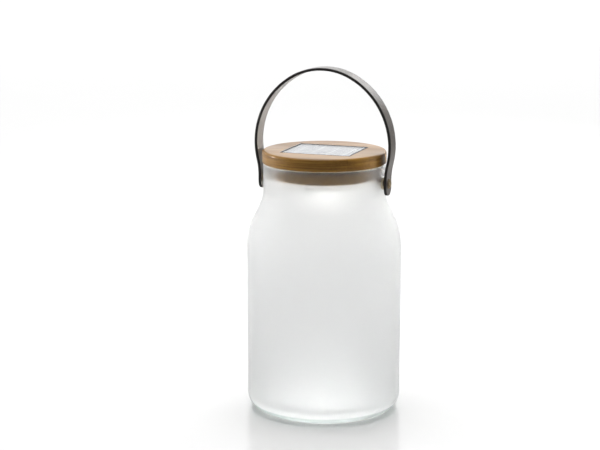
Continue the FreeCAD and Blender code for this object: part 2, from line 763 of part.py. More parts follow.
leds = [
    box(f"led_{index}", "led_length", "led_width", "led_height", x, y, f"{BOARD_BOTTOM} - led_height")
    for index, (x, y) in enumerate(around("led_circle", int(SIZES["led_count"]), start_angle=45))
]
node(group("led_emitters", leds), "led_emitters")

CELL_HALF = "(battery_length / 2)"
NUB_END = f"({CELL_HALF} + battery_nub_length)"
POCKET_HALF = f"({NUB_END} + contact_reach + contact_thickness)"
POCKET_WIDTH = "(2 * (battery_radius + fit_gap))"
CONTACT_FACE = f"({POCKET_HALF} - contact_thickness)"

holder_block = box("holder_block", f"2 * ({POCKET_HALF} + holder_wall)", f"{POCKET_WIDTH} + 2 * holder_wall",
                   "holder_height", "0", "0", BOARD_TOP)
holder_pocket = box("holder_pocket", f"2 * {POCKET_HALF}", POCKET_WIDTH, "holder_height",
                    "0", "0", f"{BOARD_TOP} + holder_floor")
node(cut("battery_holder", holder_block, holder_pocket), "battery_holder")

can = lying("battery_can", "battery_radius", f"-{CELL_HALF}", CELL_HALF, BATTERY_AXIS)
nub = lying("battery_nub", "battery_nub_radius", CELL_HALF, NUB_END, BATTERY_AXIS)
node(fuse("battery_cell", can, nub), "battery_cell")

CONTACT_BASE = f"({BOARD_TOP} + holder_floor)"
left_dimple = lying("left_dimple", "battery_nub_radius", f"-{CONTACT_FACE}", f"-{CELL_HALF}", BATTERY_AXIS,
                    "Part::Cone", "battery_nub_radius / 2")
right_dimple = lying("right_dimple", "battery_nub_radius / 2", NUB_END, CONTACT_FACE, BATTERY_AXIS,
                     "Part::Cone", "battery_nub_radius")
contact_pieces = []
for side, dimple in (("-1", left_dimple), ("1", right_dimple)):
    plate = box(f"{dimple.Name}_plate", "contact_thickness", "contact_width", "2 * battery_radius",
                f"{side} * ({POCKET_HALF} - contact_thickness / 2)", "0", CONTACT_BASE)
    contact_pieces.append(fuse(f"{dimple.Name}_contact", plate, dimple))
node(group("battery_contacts", contact_pieces), "battery_contacts")

# Cover under the module, with the window for the lens and the slot for the switch

SLOT_LENGTH = "(slider_length + switch_travel + 2 * slider_gap)"
SLOT_WIDTH = "(slider_width + 2 * slider_gap)"
SLIDER_REST = "(-switch_travel / 2)"

LENS_WINDOW = "(lens_radius + lens_gap)"
COVER_RIM_TOP = f"({BOARD_BOTTOM} - cover_rim_drop)"
COVER_RIM_INSIDE = f"({COVER_RADIUS} - cover_rim_wall)"
cover_tray = turned("cover_tray", [
    (LENS_WINDOW, COVER_BOTTOM),
    (COVER_RADIUS, COVER_BOTTOM),
    (COVER_RADIUS, COVER_RIM_TOP),
    (COVER_RIM_INSIDE, COVER_RIM_TOP),
    (COVER_RIM_INSIDE, FLOOR_TOP),
    (LENS_WINDOW, FLOOR_TOP),
])
posts = [
    cylinder(f"cover_post_{index}", "boss_radius", "switch_height", x, y, FLOOR_TOP)
    for index, (x, y) in enumerate(boss_places)
]
switch_slot = box("switch_slot", SLOT_LENGTH, SLOT_WIDTH, "cover_floor", "0", SWITCH_ROW, COVER_BOTTOM)
cover_cuts = [switch_slot]
for index, (x, y) in enumerate(boss_places):
    cover_cuts.append(cylinder(f"cover_hole_{index}", SCREW_HOLE, "cover_floor + switch_height",
                               x, y, COVER_BOTTOM))
    cover_cuts.append(cylinder(f"cover_counterbore_{index}", "screw_head_radius + screw_slack",
                               "screw_head_height", x, y, COVER_BOTTOM))
cover_blank = fuse("cover_blank", cover_tray, *posts)
node(cut("cover_plate", cover_blank, fuse("cover_cutters", *cover_cuts)), "cover_plate")

cover_screws = []
SCREW_REACH = f"({BOARD_TOP} + cover_screw_grip - {COVER_BOTTOM} - screw_head_height)"
for index, (x, y) in enumerate(boss_places):
    head = cylinder(f"cover_screw_head_{index}", "screw_head_radius", "screw_head_height",
                    x, y, COVER_BOTTOM)
    shank = cylinder(f"cover_screw_shank_{index}", "screw_radius", SCREW_REACH,
                     x, y, f"{COVER_BOTTOM} + screw_head_height")
    cover_screws.append(fuse(f"cover_screw_{index}", head, shank))
node(group("cover_screws", cover_screws), "cover_screws")

# Lens and reflector over the diodes

DOME_RIM = "(lens_radius - lens_wall)"
LENS_SPHERE = "((lens_radius ^ 2 + lens_sag ^ 2) / (2 * lens_sag))"
HOLLOW_SAG = "(lens_sag - lens_wall)"
HOLLOW_SPHERE = f"(({DOME_RIM} ^ 2 + {HOLLOW_SAG} ^ 2) / (2 * {HOLLOW_SAG}))"
node(turned("diffuser_lens", [
    ("0", f"{COVER_BOTTOM} - lens_sag", LENS_SPHERE),
    ("lens_radius", COVER_BOTTOM),
    ("lens_radius", FLOOR_TOP),
    (LENS_FLANGE_RADIUS, FLOOR_TOP),
    (LENS_FLANGE_RADIUS, LENS_FLANGE_TOP),
    (DOME_RIM, LENS_FLANGE_TOP),
    (DOME_RIM, COVER_BOTTOM, f"-{HOLLOW_SPHERE}"),
    ("0", f"{COVER_BOTTOM} - {HOLLOW_SAG}"),
]), "diffuser_lens")

REFLECTOR_THROAT = "(led_circle + led_length / 2 + led_width / 2 + reflector_gap)"
node(turned("reflector_ring", [
    (DOME_RIM, LENS_FLANGE_TOP),
    (LENS_FLANGE_RADIUS, LENS_FLANGE_TOP),
    (LENS_FLANGE_RADIUS, BOARD_BOTTOM),
    (REFLECTOR_THROAT, BOARD_BOTTOM),
]), "reflector_ring")

# Slide switch: a body under the board and a knob that slides along X through the cover's slot

switch_shell = box("switch_shell", "switch_length", "switch_width", "switch_height",
                   "0", SWITCH_ROW, FLOOR_TOP)
switch_channel = box("switch_channel", SLOT_LENGTH, SLOT_WIDTH, "switch_height - switch_roof",
                     "0", SWITCH_ROW, FLOOR_TOP)
node(cut("switch_body", switch_shell, switch_channel), "switch_body")

slider_stem = box("slider_stem", "slider_length", "slider_width",
                  "cover_floor + switch_height - switch_roof",
                  SLIDER_REST, SWITCH_ROW, f"{COVER_BOTTOM} - slider_gap")
slider_knob = box("slider_knob", "knob_length", "knob_width", "knob_height",
                  SLIDER_REST, SWITCH_ROW, f"{COVER_BOTTOM} - slider_gap - knob_height")
node(fuse("switch_slider", slider_stem, slider_knob), "switch_slider")

doc.recompute()
for item in doc.Objects:
    if {"Invalid", "Error"} & set(item.State):
        raise RuntimeError(f"{item.Name} did not recompute: {item.State}")
for item in nodes:
    if item.Shape.isNull() or not item.Shape.isValid():
        raise RuntimeError(f"{item.Label} has no valid shape")

os.makedirs("parts", exist_ok=True)
for item in nodes:
    item.Shape.exportStep(f"parts/{item.Label}.step")
    print(item.Label, len(item.Shape.Solids), "solids", round(item.Shape.Volume, 1), "mm3")
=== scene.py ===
# %% [markdown]
# # A jar lantern with a leather handle
# A frosted glass jar carries a bamboo lid with a small solar panel let into its top. A light module
# hangs under the lid inside the neck, and a leather strap swings over everything on two brass rivets.
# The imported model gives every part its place. This lesson dresses that model: smooth turned pieces,
# a strap bent along its own line, and materials made only from nodes.

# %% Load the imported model
import json
import math

import bmesh
import bpy
from mathutils import Matrix, Vector

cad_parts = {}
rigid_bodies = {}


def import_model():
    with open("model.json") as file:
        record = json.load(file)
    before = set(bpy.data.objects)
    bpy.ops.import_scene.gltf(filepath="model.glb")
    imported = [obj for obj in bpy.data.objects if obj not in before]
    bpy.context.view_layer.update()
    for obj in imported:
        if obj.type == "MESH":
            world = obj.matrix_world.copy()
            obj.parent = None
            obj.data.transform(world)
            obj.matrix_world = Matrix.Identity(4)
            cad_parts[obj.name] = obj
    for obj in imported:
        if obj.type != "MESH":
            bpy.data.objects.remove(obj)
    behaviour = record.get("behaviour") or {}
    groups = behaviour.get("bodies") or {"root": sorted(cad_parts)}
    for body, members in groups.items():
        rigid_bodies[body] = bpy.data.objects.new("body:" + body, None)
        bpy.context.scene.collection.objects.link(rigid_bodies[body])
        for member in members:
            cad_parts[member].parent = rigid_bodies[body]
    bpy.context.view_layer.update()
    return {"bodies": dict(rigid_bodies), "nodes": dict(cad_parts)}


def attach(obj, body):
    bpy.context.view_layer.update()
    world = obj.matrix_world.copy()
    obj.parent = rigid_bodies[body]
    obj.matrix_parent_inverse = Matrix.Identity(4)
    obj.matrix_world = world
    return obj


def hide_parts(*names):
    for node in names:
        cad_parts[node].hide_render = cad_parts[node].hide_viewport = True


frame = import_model()
scene = bpy.context.scene
MM = 0.001


def add(name, data):
    """A new object in the scene."""
    made = bpy.data.objects.new(name, data)
    scene.collection.objects.link(made)
    return made


print("bodies:", ", ".join(frame["bodies"]), "| nodes:", len(frame["nodes"]))

# %% [markdown]
# ## Camera
# The picture was taken from a little above the lid, about twenty degrees to the right of the front.
# A long lens keeps the jar's sides nearly parallel, as they are in a catalogue picture. The place was
# found by matching the ellipses of the lid and the base, so it is given as plain numbers.

# %% Camera
lens = bpy.data.cameras.new("camera")
lens.lens, lens.sensor_width = 94.10, 36.0
camera = add("camera", lens)
camera.location = (0.37504, -1.08315, 0.3773)
camera.rotation_euler = (math.radians(78.246), 0.0, math.radians(20.0))
scene.camera = camera
print("camera", round(camera.location.length, 3), "m from the middle of the base")

# %% [markdown]
# ## Nodes written as expressions
# A material or a Geometry Nodes tree is a graph of small nodes. Drawing it by hand is fine for one
# material, but a script reads better if the sums look like sums. So one small class wraps a socket
# and turns + - * / into Math nodes, and one method adds every other kind of node.

# %% Sockets that can be added and multiplied
class Socket:
    """The output of a node, for use in plain expressions."""

    def __init__(self, graph, socket):
        self.graph, self.socket = graph, socket

    def __add__(self, other):
        return self.graph.sum("ADD", self, other)

    def __sub__(self, other):
        return self.graph.sum("SUBTRACT", self, other)

    def __rsub__(self, other):
        return self.graph.sum("SUBTRACT", other, self)

    def __mul__(self, other):
        return self.graph.sum("MULTIPLY", self, other)

    def __truediv__(self, other):
        return self.graph.sum("DIVIDE", self, other)

    __radd__, __rmul__ = __add__, __mul__


class Graph:
    """A node tree that grows by one method."""

    def __init__(self, tree):
        self.tree = tree

    def node(self, kind, settings=None, sockets=None, out=0):
        made = self.tree.nodes.new(kind)
        for label, value in (settings or {}).items():
            setattr(made, label, value)
        for label, value in (sockets or {}).items():
            self.feed(made, label, value)
        if isinstance(out, tuple):
            return [Socket(self, made.outputs[label]) for label in out]
        return Socket(self, self.find(made.outputs, out)) if out is not None else made

    def find(self, sockets, label):
        if isinstance(label, int):
            return sockets[label]
        return next(s for s in sockets if label in (s.identifier, s.name))

    def feed(self, made, label, value):
        socket = self.find(made.inputs, label)
        if isinstance(value, Socket):
            self.tree.links.new(value.socket, socket)
        else:
            socket.default_value = value

    def sum(self, operation, *values):
        return self.node("ShaderNodeMath", {"operation": operation}, dict(enumerate(values)))

    def vector(self, operation, *values, out="Vector"):
        return self.node("ShaderNodeVectorMath", {"operation": operation}, dict(enumerate(values)), out)

    def split(self, vector):
        return self.node("ShaderNodeSeparateXYZ", {}, {"Vector": vector}, out=("X", "Y", "Z"))

    def join(self, x=0.0, y=0.0, z=0.0):
        return self.node("ShaderNodeCombineXYZ", {}, {"X": x, "Y": y, "Z": z})

    def rise(self, value, low, high, start=0.0, end=1.0):
        """start below low, end above high and smooth between them."""
        return self.node("ShaderNodeMapRange", {"interpolation_type": "SMOOTHSTEP"}, {
            "Value": value, "From Min": low, "From Max": high, "To Min": start, "To Max": end})


print("sums of sockets become Math nodes")

# %% [markdown]
# ## A finish
# Every finish here is one Principled shader. What is the same all over, such as the index of
# refraction, sits on the shader's own sockets. What changes over the surface, such as colour,
# roughness and relief, comes from noise on Object coordinates, so it stays at its real size
# on every piece, with no unwrapping.

# %% The finish class
class Finish(Graph):
    """A material with one Principled shader and the node recipes that the finishes share."""

    def __init__(self, name, same=None):
        self.material = bpy.data.materials.new(name)
        self.material.use_nodes = True
        super().__init__(self.material.node_tree)
        self.shader = self.tree.nodes["Principled BSDF"]
        self.set(same or {})

    def set(self, sockets):
        for label, value in sockets.items():
            self.feed(self.shader, label, value)

    def spot(self):
        return self.node("ShaderNodeTexCoord", out="Object")

    def off_axis(self):
        """The square of the distance from the Z axis."""
        x, y, _ = self.split(self.spot())
        return x * x + y * y

    def stretched(self, by):
        return self.vector("MULTIPLY", self.spot(), by)

    def noise(self, scale, at=None, detail=3.0):
        return self.node("ShaderNodeTexNoise", {},
                         {"Vector": at or self.spot(), "Scale": scale, "Detail": detail})

    def cells(self, scale, feature, at=None):
        return self.node("ShaderNodeTexVoronoi", {"feature": feature},
                         {"Vector": at or self.spot(), "Scale": scale}, "Distance")

    def chance(self, number):
        return self.node("ShaderNodeTexWhiteNoise", {"noise_dimensions": "1D"}, {"W": number}, "Value")

    def own(self, name, out="Fac"):
        return self.node("ShaderNodeAttribute", {"attribute_name": name}, {}, out)

    def blend(self, factor, first, second):
        return self.node("ShaderNodeMix", {"data_type": "RGBA"},
                         {"Factor_Float": factor, "A_Color": first, "B_Color": second}, "Result_Color")

    def relief(self, height, depth, under=None):
        """A Bump node: height from 0 to 1 stands for depth in metres."""
        sockets = {"Height": height, "Distance": depth}
        if under:
            sockets["Normal"] = under
        return self.node("ShaderNodeBump", {}, sockets)


def rgb(red, green, blue):
    return (red, green, blue, 1.0)


print("a finish is one shader and the nodes that feed it")

# %% [markdown]
# ## Frosted glass
# The jar is etched with acid: light passes through, but every ray is scattered, so what stands close
# behind the glass is a soft shape and what is further away is only brightness. Transmission with a rough
# surface does exactly that. The neck is etched more finely, so the plug's edge shows through it, the
# underside is nearly polished where it stands, and the thick foot shows the green of the glass.

# %% Frosted glass
glass = Finish("etched_glass", {"Transmission Weight": 0.96, "IOR": 1.48})
_, _, up = glass.split(glass.spot())
NECK_ETCH = 0.175
etched = glass.rise(up, -0.0006, 0.0012)
finer = glass.rise(up, NECK_ETCH - 0.002, NECK_ETCH + 0.002)
foot = glass.rise(up, 0.0002, 0.0010) - glass.rise(up, 0.0045, 0.0066)
grain = glass.noise(5200.0, detail=2.0)
cloud = glass.noise(38.0)
glass.set({
    "Base Color": glass.blend(foot, rgb(0.883, 0.886, 0.884), rgb(0.40, 0.46, 0.44)),
    "Roughness": 0.20 + etched * 0.54 - finer * 0.46 + (grain - 0.5) * 0.06 + (cloud - 0.5) * 0.05,
    "Normal": glass.relief(grain, 0.000001),
})
print("the etching is finer above", round(NECK_ETCH / MM), "mm")

# %% [markdown]
# ## Tracing outlines
# Most parts of a jar are turned: one outline swung about the axis. A designer thinks of such an
# outline as straight runs and arcs, so it is traced like a walk: go so far, then turn so many degrees
# on such a radius. A left turn is positive. All sizes are in millimetres.

# %% Trace a walk of runs and arcs
ARC_STEP = 3.0


def trace(start, heading, *steps):
    """Points of a walk. A step is a length, or a pair of a radius and a turn in degrees."""
    x, z = start
    angle = math.radians(heading)
    points = [(x, z)]
    for step in steps:
        if isinstance(step, tuple):
            radius, turn = step
            count = max(3, math.ceil(abs(turn) / ARC_STEP))
            side = math.copysign(radius, turn)
            for _ in range(count):
                before, angle = angle, angle + math.radians(turn) / count
                x += side * (math.sin(angle) - math.sin(before))
                z -= side * (math.cos(angle) - math.cos(before))
                points.append((x, z))
        else:
            x += step * math.cos(angle)
            z += step * math.sin(angle)
            points.append((x, z))
    return points


def dome_radius(half, sag):
    """The radius of the arc that rises by sag over half a dome's width."""
    return (half ** 2 + sag ** 2) / (2 * sag)


def guide(name, points):
    """A curve on the XZ plane through points in millimetres, for a tree to read."""
    line = bpy.data.curves.new(name, "CURVE")
    line.dimensions = "3D"
    spline = line.splines.new("POLY")
    spline.points.add(len(points) - 1)
    for point, (x, z) in zip(spline.points, points):
        point.co = (x * MM, 0.0, z * MM, 1.0)
    return add(name, line)


print("a quarter turn has", len(trace((0, 0), 0, (10, 90))), "points")

# %% [markdown]
# ## A tree that turns an outline
# The Spin operator and the Screw modifier can both turn an outline. A Geometry Nodes tree keeps the
# outline and the number of segments as inputs, and the same tree then serves the jar, lid, plug, seal,
# lens and rivets. A grid gets one row for each point of the outline, and every vertex is moved to
# its place round the axis. Merging by distance closes the seam and the poles.

# %% Trees with named inputs
class Tree(Graph):
    """A Geometry Nodes tree with named inputs."""

    def __init__(self, name, **kinds):
        super().__init__(bpy.data.node_groups.new(name, "GeometryNodeTree"))
        face = self.tree.interface
        face.new_socket("Mesh", in_out="OUTPUT", socket_type="NodeSocketGeometry")
        self.ids = {
            label: face.new_socket(label, in_out="INPUT", socket_type="NodeSocket" + kind).identifier
            for label, kind in kinds.items()
        }
        entry = self.node("NodeGroupInput", out=None)
        self.given = {label: Socket(self, entry.outputs[label]) for label in kinds}

    def shape_of(self, label):
        return self.node("GeometryNodeObjectInfo", {}, {"Object": self.given[label]}, "Geometry")

    def count_of(self, curve):
        return self.node("GeometryNodeAttributeDomainSize", {"component": "CURVE"}, {"Geometry": curve})

    def point_of(self, curve, index):
        place = self.node("GeometryNodeInputPosition")
        return self.node("GeometryNodeSampleIndex", {"data_type": "FLOAT_VECTOR"},
                         {"Geometry": curve, "Value": place, "Index": index})

    def moved(self, mesh, to):
        return self.node("GeometryNodeSetPosition", {}, {"Geometry": mesh, "Position": to})

    def merged(self, mesh):
        return self.node("GeometryNodeMergeByDistance", {}, {"Geometry": mesh, "Distance": 1e-7})

    def close(self, mesh):
        mesh = self.node("GeometryNodeRealizeInstances", {}, {"Geometry": mesh})
        mesh = self.node("GeometryNodeSetMaterial", {},
                         {"Geometry": mesh, "Material": self.given["Finish"]})
        self.node("NodeGroupOutput", {}, {"Mesh": mesh}, out=None)

    def grow(self, name, **values):
        """A new object whose mesh this tree makes."""
        made = add(name, bpy.data.meshes.new(name))
        modifier = made.modifiers.new("grow", "NODES")
        modifier.node_group = self.tree
        for label, value in values.items():
            modifier[self.ids[label]] = value
        return made


turning = Tree("turn_an_outline", Outline="Object", Segments="Int", Finish="Material")
outline = turning.shape_of("Outline")
rows = turning.count_of(outline)
columns = turning.given["Segments"] + 1
grid = turning.node("GeometryNodeMeshGrid", {}, {"Vertices X": rows, "Vertices Y": columns})
index = turning.node("GeometryNodeInputIndex")
row = turning.sum("FLOOR", index / columns)
radius, _, height = turning.split(turning.point_of(outline, row))
angle = (index - row * columns) * math.tau / turning.given["Segments"]
ring = turning.join(radius * turning.sum("COSINE", angle), radius * turning.sum("SINE", angle), height)
turning.close(turning.merged(turning.moved(grid, ring)))
print("turning tree:", len(turning.tree.nodes), "nodes")

# %% [markdown]
# ## From tree to plain piece
# A modifier is only a recipe. Other programs need the finished mesh, so each piece is settled: its
# evaluated shape becomes plain data, doubled points are merged, open ends are closed and all faces are
# turned outwards. Then it is fitted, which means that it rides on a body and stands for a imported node.

# %% From tree to plain piece
def settle(piece, sharp=35.0):
    """Turn a modified object into a plain mesh with closed ends and outward faces."""
    graph = bpy.context.evaluated_depsgraph_get()
    mesh = bpy.data.meshes.new_from_object(piece.evaluated_get(graph), preserve_all_data_layers=True,
                                           depsgraph=graph)
    piece.modifiers.clear()
    piece.data = mesh
    tidy = bmesh.new()
    tidy.from_mesh(mesh)
    bmesh.ops.remove_doubles(tidy, verts=tidy.verts, dist=1e-6)
    bmesh.ops.holes_fill(tidy, edges=[edge for edge in tidy.edges if edge.is_boundary])
    bmesh.ops.recalc_face_normals(tidy, faces=tidy.faces)
    tidy.to_mesh(mesh)
    tidy.free()
    mesh.shade_smooth()
    mesh.set_sharp_from_angle(angle=math.radians(sharp))
    return piece


def from_bmesh(name, mesh):
    """A new object with a mesh that was built by hand."""
    data = bpy.data.meshes.new(name)
    mesh.to_mesh(data)
    mesh.free()
    return add(name, data)


def discard(*helpers):
    for helper in helpers:
        bpy.data.objects.remove(helper)


def fit(piece, body, slot, *nodes):
    """Hang a finished piece on its body, in place of the nodes that it details."""
    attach(piece, body)
    if nodes:
        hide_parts(*nodes)
    low = [round(min(v.co[i] for v in piece.data.vertices) / MM, 2) for i in range(3)]
    high = [round(max(v.co[i] for v in piece.data.vertices) / MM, 2) for i in range(3)]
    print(piece.name, len(piece.data.polygons), "faces, from", low, "to", high, "mm")


# %% [markdown]
# ## Cutting holes
# A Boolean modifier takes one shape out of another, as a drill or a router does. The cutters are
# simple prisms, thrown away once the cut is made.

# %% Cutters
def prism(name, sides, radius, start, end, flare=0.0):
    """A many-sided rod along Z from start to end; its top end flares out for a chamfer."""
    mesh = bmesh.new()
    levels = [(start, 0.0), (end, 0.0)]
    if flare:
        levels = [(start, 0.0), (end - 2 * flare, 0.0), (end, 2 * flare)]
    rings = [[mesh.verts.new((x * MM, y * MM, level * MM)) for x, y in rim(sides, radius, wider)]
             for level, wider in levels]
    for lower, upper in zip(rings, rings[1:]):
        for i in range(len(lower)):
            j = (i + 1) % len(lower)
            mesh.faces.new((lower[i], lower[j], upper[j], upper[i]))
    mesh.faces.new(reversed(rings[0]))
    mesh.faces.new(rings[-1])
    return from_bmesh(name, mesh)


def rim(sides, radius, wider):
    """Corners of a circle, or of a rectangle if radius is a pair of half sizes."""
    if isinstance(radius, tuple):
        half_x, half_y = radius[0] + wider, radius[1] + wider
        return [(-half_x, -half_y), (half_x, -half_y), (half_x, half_y), (-half_x, half_y)]
    angles = [math.tau * i / sides for i in range(sides)]
    return [((radius + wider) * math.cos(a), (radius + wider) * math.sin(a)) for a in angles]


def place(cutter, turn_to=None, at=(0.0, 0.0, 0.0)):
    """Move a cutter's vertices, so that its object stays at the origin."""
    matrix = Matrix.Translation(Vector(at) * MM)
    if turn_to:
        matrix = matrix @ Matrix.Rotation(math.radians(turn_to[0]), 4, turn_to[1])
    cutter.data.transform(matrix)
    return cutter


def cut_away(piece, *cutters):
    for cutter in cutters:
        cut = piece.modifiers.new("cut", "BOOLEAN")
        cut.operation, cut.solver, cut.object = "DIFFERENCE", "EXACT", cutter


def turned(name, finish, points, segments, *cutters):
    """A plain piece, turned about Z from (radius, height) points and then cut."""
    line = guide(name + "_outline", points)
    piece = turning.grow(name, Outline=line, Segments=segments, Finish=finish.material)
    cut_away(piece, *cutters)
    settle(piece)
    discard(line, *cutters)
    return piece


print("a round cutter has", len(rim(48, 3.45, 0.0)), "sides, a square one", len(rim(4, (1.0, 1.0), 0.0)))

# %% [markdown]
# ## The jar
# The jar is one closed outline: across the base, round the corner, up the side, in over the shoulder,
# up the neck, over the rim and back down inside. The shoulder is an arc, a straight slope and an arc
# the other way, and the slope's length follows from how far the neck is drawn in.

# %% The jar
BODY, NECK, WALL, FLOOR, RIM_TOP, RIVET_UP = 57.5, 45.3, 3.0, 7.0, 186.0, 173.0
CORNER, SHOULDER, THROAT, RIM_ROUND, SLOPE = 11.0, 48.0, 26.0, 0.9, 25.38
NECK_HIGH, RIVET_HOLE, DRILL_REACH = 19.6, 3.45, 60.0

slope = math.radians(SLOPE)
incline = (BODY - NECK - (SHOULDER + THROAT) * (1 - math.cos(slope))) / math.sin(slope)
drawn_in = (SHOULDER + THROAT) * math.sin(slope) + incline * math.cos(slope)
neck_run = NECK_HIGH - RIM_ROUND
side_run = RIM_TOP - NECK_HIGH - drawn_in - CORNER
jar_walk = trace(
    (0.0, 0.0), 0.0,
    BODY - CORNER, (CORNER, 90), side_run,
    (SHOULDER, SLOPE), incline, (THROAT, -SLOPE), neck_run,
    (RIM_ROUND, 90), WALL - 2 * RIM_ROUND, (RIM_ROUND, 90), neck_run,
    (THROAT + WALL, SLOPE), incline, (SHOULDER - WALL, -SLOPE),
    side_run + CORNER - FLOOR - (CORNER - WALL), (CORNER - WALL, -90), BODY - CORNER,
)
drill = prism("rivet_drill", 48, RIVET_HOLE, -DRILL_REACH, DRILL_REACH)
place(drill, (90, "Y"), (0, 0, RIVET_UP))
fit(turned("glass_shell", glass, jar_walk, 192, drill), "jar", "frosted_glass", "glass_jar")

# %% [markdown]
# ## Carbonised bamboo
# The lid is glued up from bamboo strips that were steamed until they turned amber, then lacquered.
# Each strip has its own shade, long dark fibres that run along it, thin layers that show as streaks on
# the lid's edge, and here and there the ring of a knuckle. All of that is one pattern in space: noise
# stretched along X for the fibres, and a random number for each strip, so edge and face agree. The plug
# below the disc is left without lacquer, so there the wood is paler and has no coat.

# %% Bamboo
STRIP = 0.0148
bamboo = Finish("carbonised_bamboo", {"Coat Roughness": 0.20, "IOR": 1.25, "Coat IOR": 1.4})
along, across, up = bamboo.split(bamboo.spot())
strips = across / STRIP + 0.37
number = bamboo.sum("FLOOR", strips)
shade = bamboo.chance(number)
in_strip = bamboo.sum("FRACT", strips)
glue = 1 - bamboo.rise(bamboo.sum("PINGPONG", in_strip, 0.5), 0.006, 0.022)
sway = bamboo.noise(24.0) * 0.0016
fibre_spot = bamboo.join(along * 9.0 + shade * 3.0, across * 900.0 + sway * 900.0, up * 900.0)
layer_spot = bamboo.join(along * 9.0 + shade * 3.0, across * 45.0, up * 620.0)
layer = bamboo.rise(bamboo.noise(1.0, layer_spot, detail=3.0), 0.3, 0.7)
fibre = bamboo.noise(1.0, fibre_spot, detail=4.0) * 0.45 + layer * 0.55
pore = bamboo.rise(bamboo.noise(2.2, bamboo.join(along * 14.0, across * 900.0, up * 900.0)), 0.60, 0.72)
knuckle_at = bamboo.sum("FRACT", along * 8.5 + shade * 7.0 + sway * 60.0)
knuckle = 1 - bamboo.rise(bamboo.sum("PINGPONG", knuckle_at, 0.5), 0.004, 0.018)
ground = bamboo.blend(fibre, rgb(0.120, 0.053, 0.008), rgb(0.38, 0.198, 0.036))
ground = bamboo.blend(shade * 0.42, ground, rgb(0.20, 0.090, 0.020))
bare = 1 - bamboo.rise(up, 0.1862, 0.1866)
ground = bamboo.blend(bare * 0.3, ground, rgb(0.62, 0.36, 0.10))
ground = bamboo.blend(pore * 0.25, ground, rgb(0.055, 0.020, 0.004))
ground = bamboo.blend(knuckle * 0.5, ground, rgb(0.060, 0.024, 0.006))
bamboo.set({
    "Base Color": bamboo.blend(glue * 0.2, ground, rgb(0.045, 0.018, 0.005)),
    "Roughness": 0.34 + (1 - fibre) * 0.22,
    "Coat Weight": (0.28 - pore * 0.15) * (1 - bare),
    "Normal": bamboo.relief(fibre - pore * 0.5 - glue * 0.6, 0.00006),
})
print("bamboo strips are", STRIP / MM, "mm wide")

# %% [markdown]
# ## The lid
# The disc is turned with a soft upper edge, and hollowed underneath for the light module. Then a
# rectangular recess is routed into its top for the panel, with a fine chamfer, and a hole is drilled
# through the web for the panel's two leads.

# %% The lid disc
DISC, DISC_LOW, DISC_TOP, CAVITY, ROOF = 46.0, 186.6, 195.7, 33.3, 191.1
PANEL_X, PANEL_Y, RECESS_GAP, RECESS_FLOOR, LEAD_BACK = 53.0, 45.0, 0.4, 193.1, 14.0
LOW_ROUND, TOP_ROUND = 0.8, 1.8

disc_walk = [(0.0, ROOF), (CAVITY, ROOF)] + trace(
    (CAVITY, DISC_LOW), 0.0,
    DISC - CAVITY - LOW_ROUND, (LOW_ROUND, 90), DISC_TOP - DISC_LOW - (LOW_ROUND + TOP_ROUND),
    (TOP_ROUND, 90), DISC - TOP_ROUND,
)
router = prism("panel_router", 4, (PANEL_X / 2 + RECESS_GAP, PANEL_Y / 2 + RECESS_GAP),
               RECESS_FLOOR, DISC_TOP + 0.3, flare=0.3)
lead_drill = place(prism("lead_drill", 32, 4.0, ROOF - 1.0, RECESS_FLOOR + 1.0), at=(0, -LEAD_BACK, 0))
disc = turned("lid_disc", bamboo, disc_walk, 192, router, lead_drill)
fit(disc, "lid", "bamboo", "bamboo_disc")

# %% [markdown]
# ## The plug
# Under the disc a bamboo ring fits into the neck. It is turned from its own closed outline, with softened
# lower edges, and three pilot holes for the module's screws are drilled from below.

# %% The plug
PLUG, PLUG_LOW, SCREW_RING = 39.3, 175.5, 35.55
plug_walk = [
    (CAVITY, DISC_LOW), (CAVITY, PLUG_LOW + 0.3), (CAVITY + 0.3, PLUG_LOW), (PLUG - 0.9, PLUG_LOW),
    (PLUG - 0.25, PLUG_LOW + 0.25), (PLUG, PLUG_LOW + 0.9), (PLUG, DISC_LOW), (CAVITY, DISC_LOW),
]
pilots = []
for spoke in map(math.radians, (30, 150, 270)):
    pilot = prism("pilot_drill", 20, 1.15, PLUG_LOW - 1.0, PLUG_LOW + 6.5)
    pilots.append(place(pilot, at=(SCREW_RING * math.cos(spoke), SCREW_RING * math.sin(spoke), 0)))
fit(turned("lid_plug", bamboo, plug_walk, 144, *pilots), "lid", "bamboo", "bamboo_plug")

# %% [markdown]
# ## The silicone seal
# A silicone ring sits on the rim and grips the bore with two soft lips. Its flange shows as a thin
# pale line between glass and bamboo, while the lips are clear enough for the plug to show through. One
# material can't be both, so the ring is turned as two pieces with two finishes from one recipe. The lips
# reach a little way into the flange, because two faces in exactly one place would render as specks.

# %% Silicone seal
def soft_rubber(name, dark, light, same):
    """Silicone: a fine matte grain and slow clouds."""
    made = Finish(name, same)
    dust, bloom = made.noise(900.0), made.noise(60.0)
    made.set({
        "Base Color": made.blend(bloom, dark, light),
        "Roughness": 0.12 + dust * 0.2,
        "Normal": made.relief(dust, 0.00002),
    })
    return made


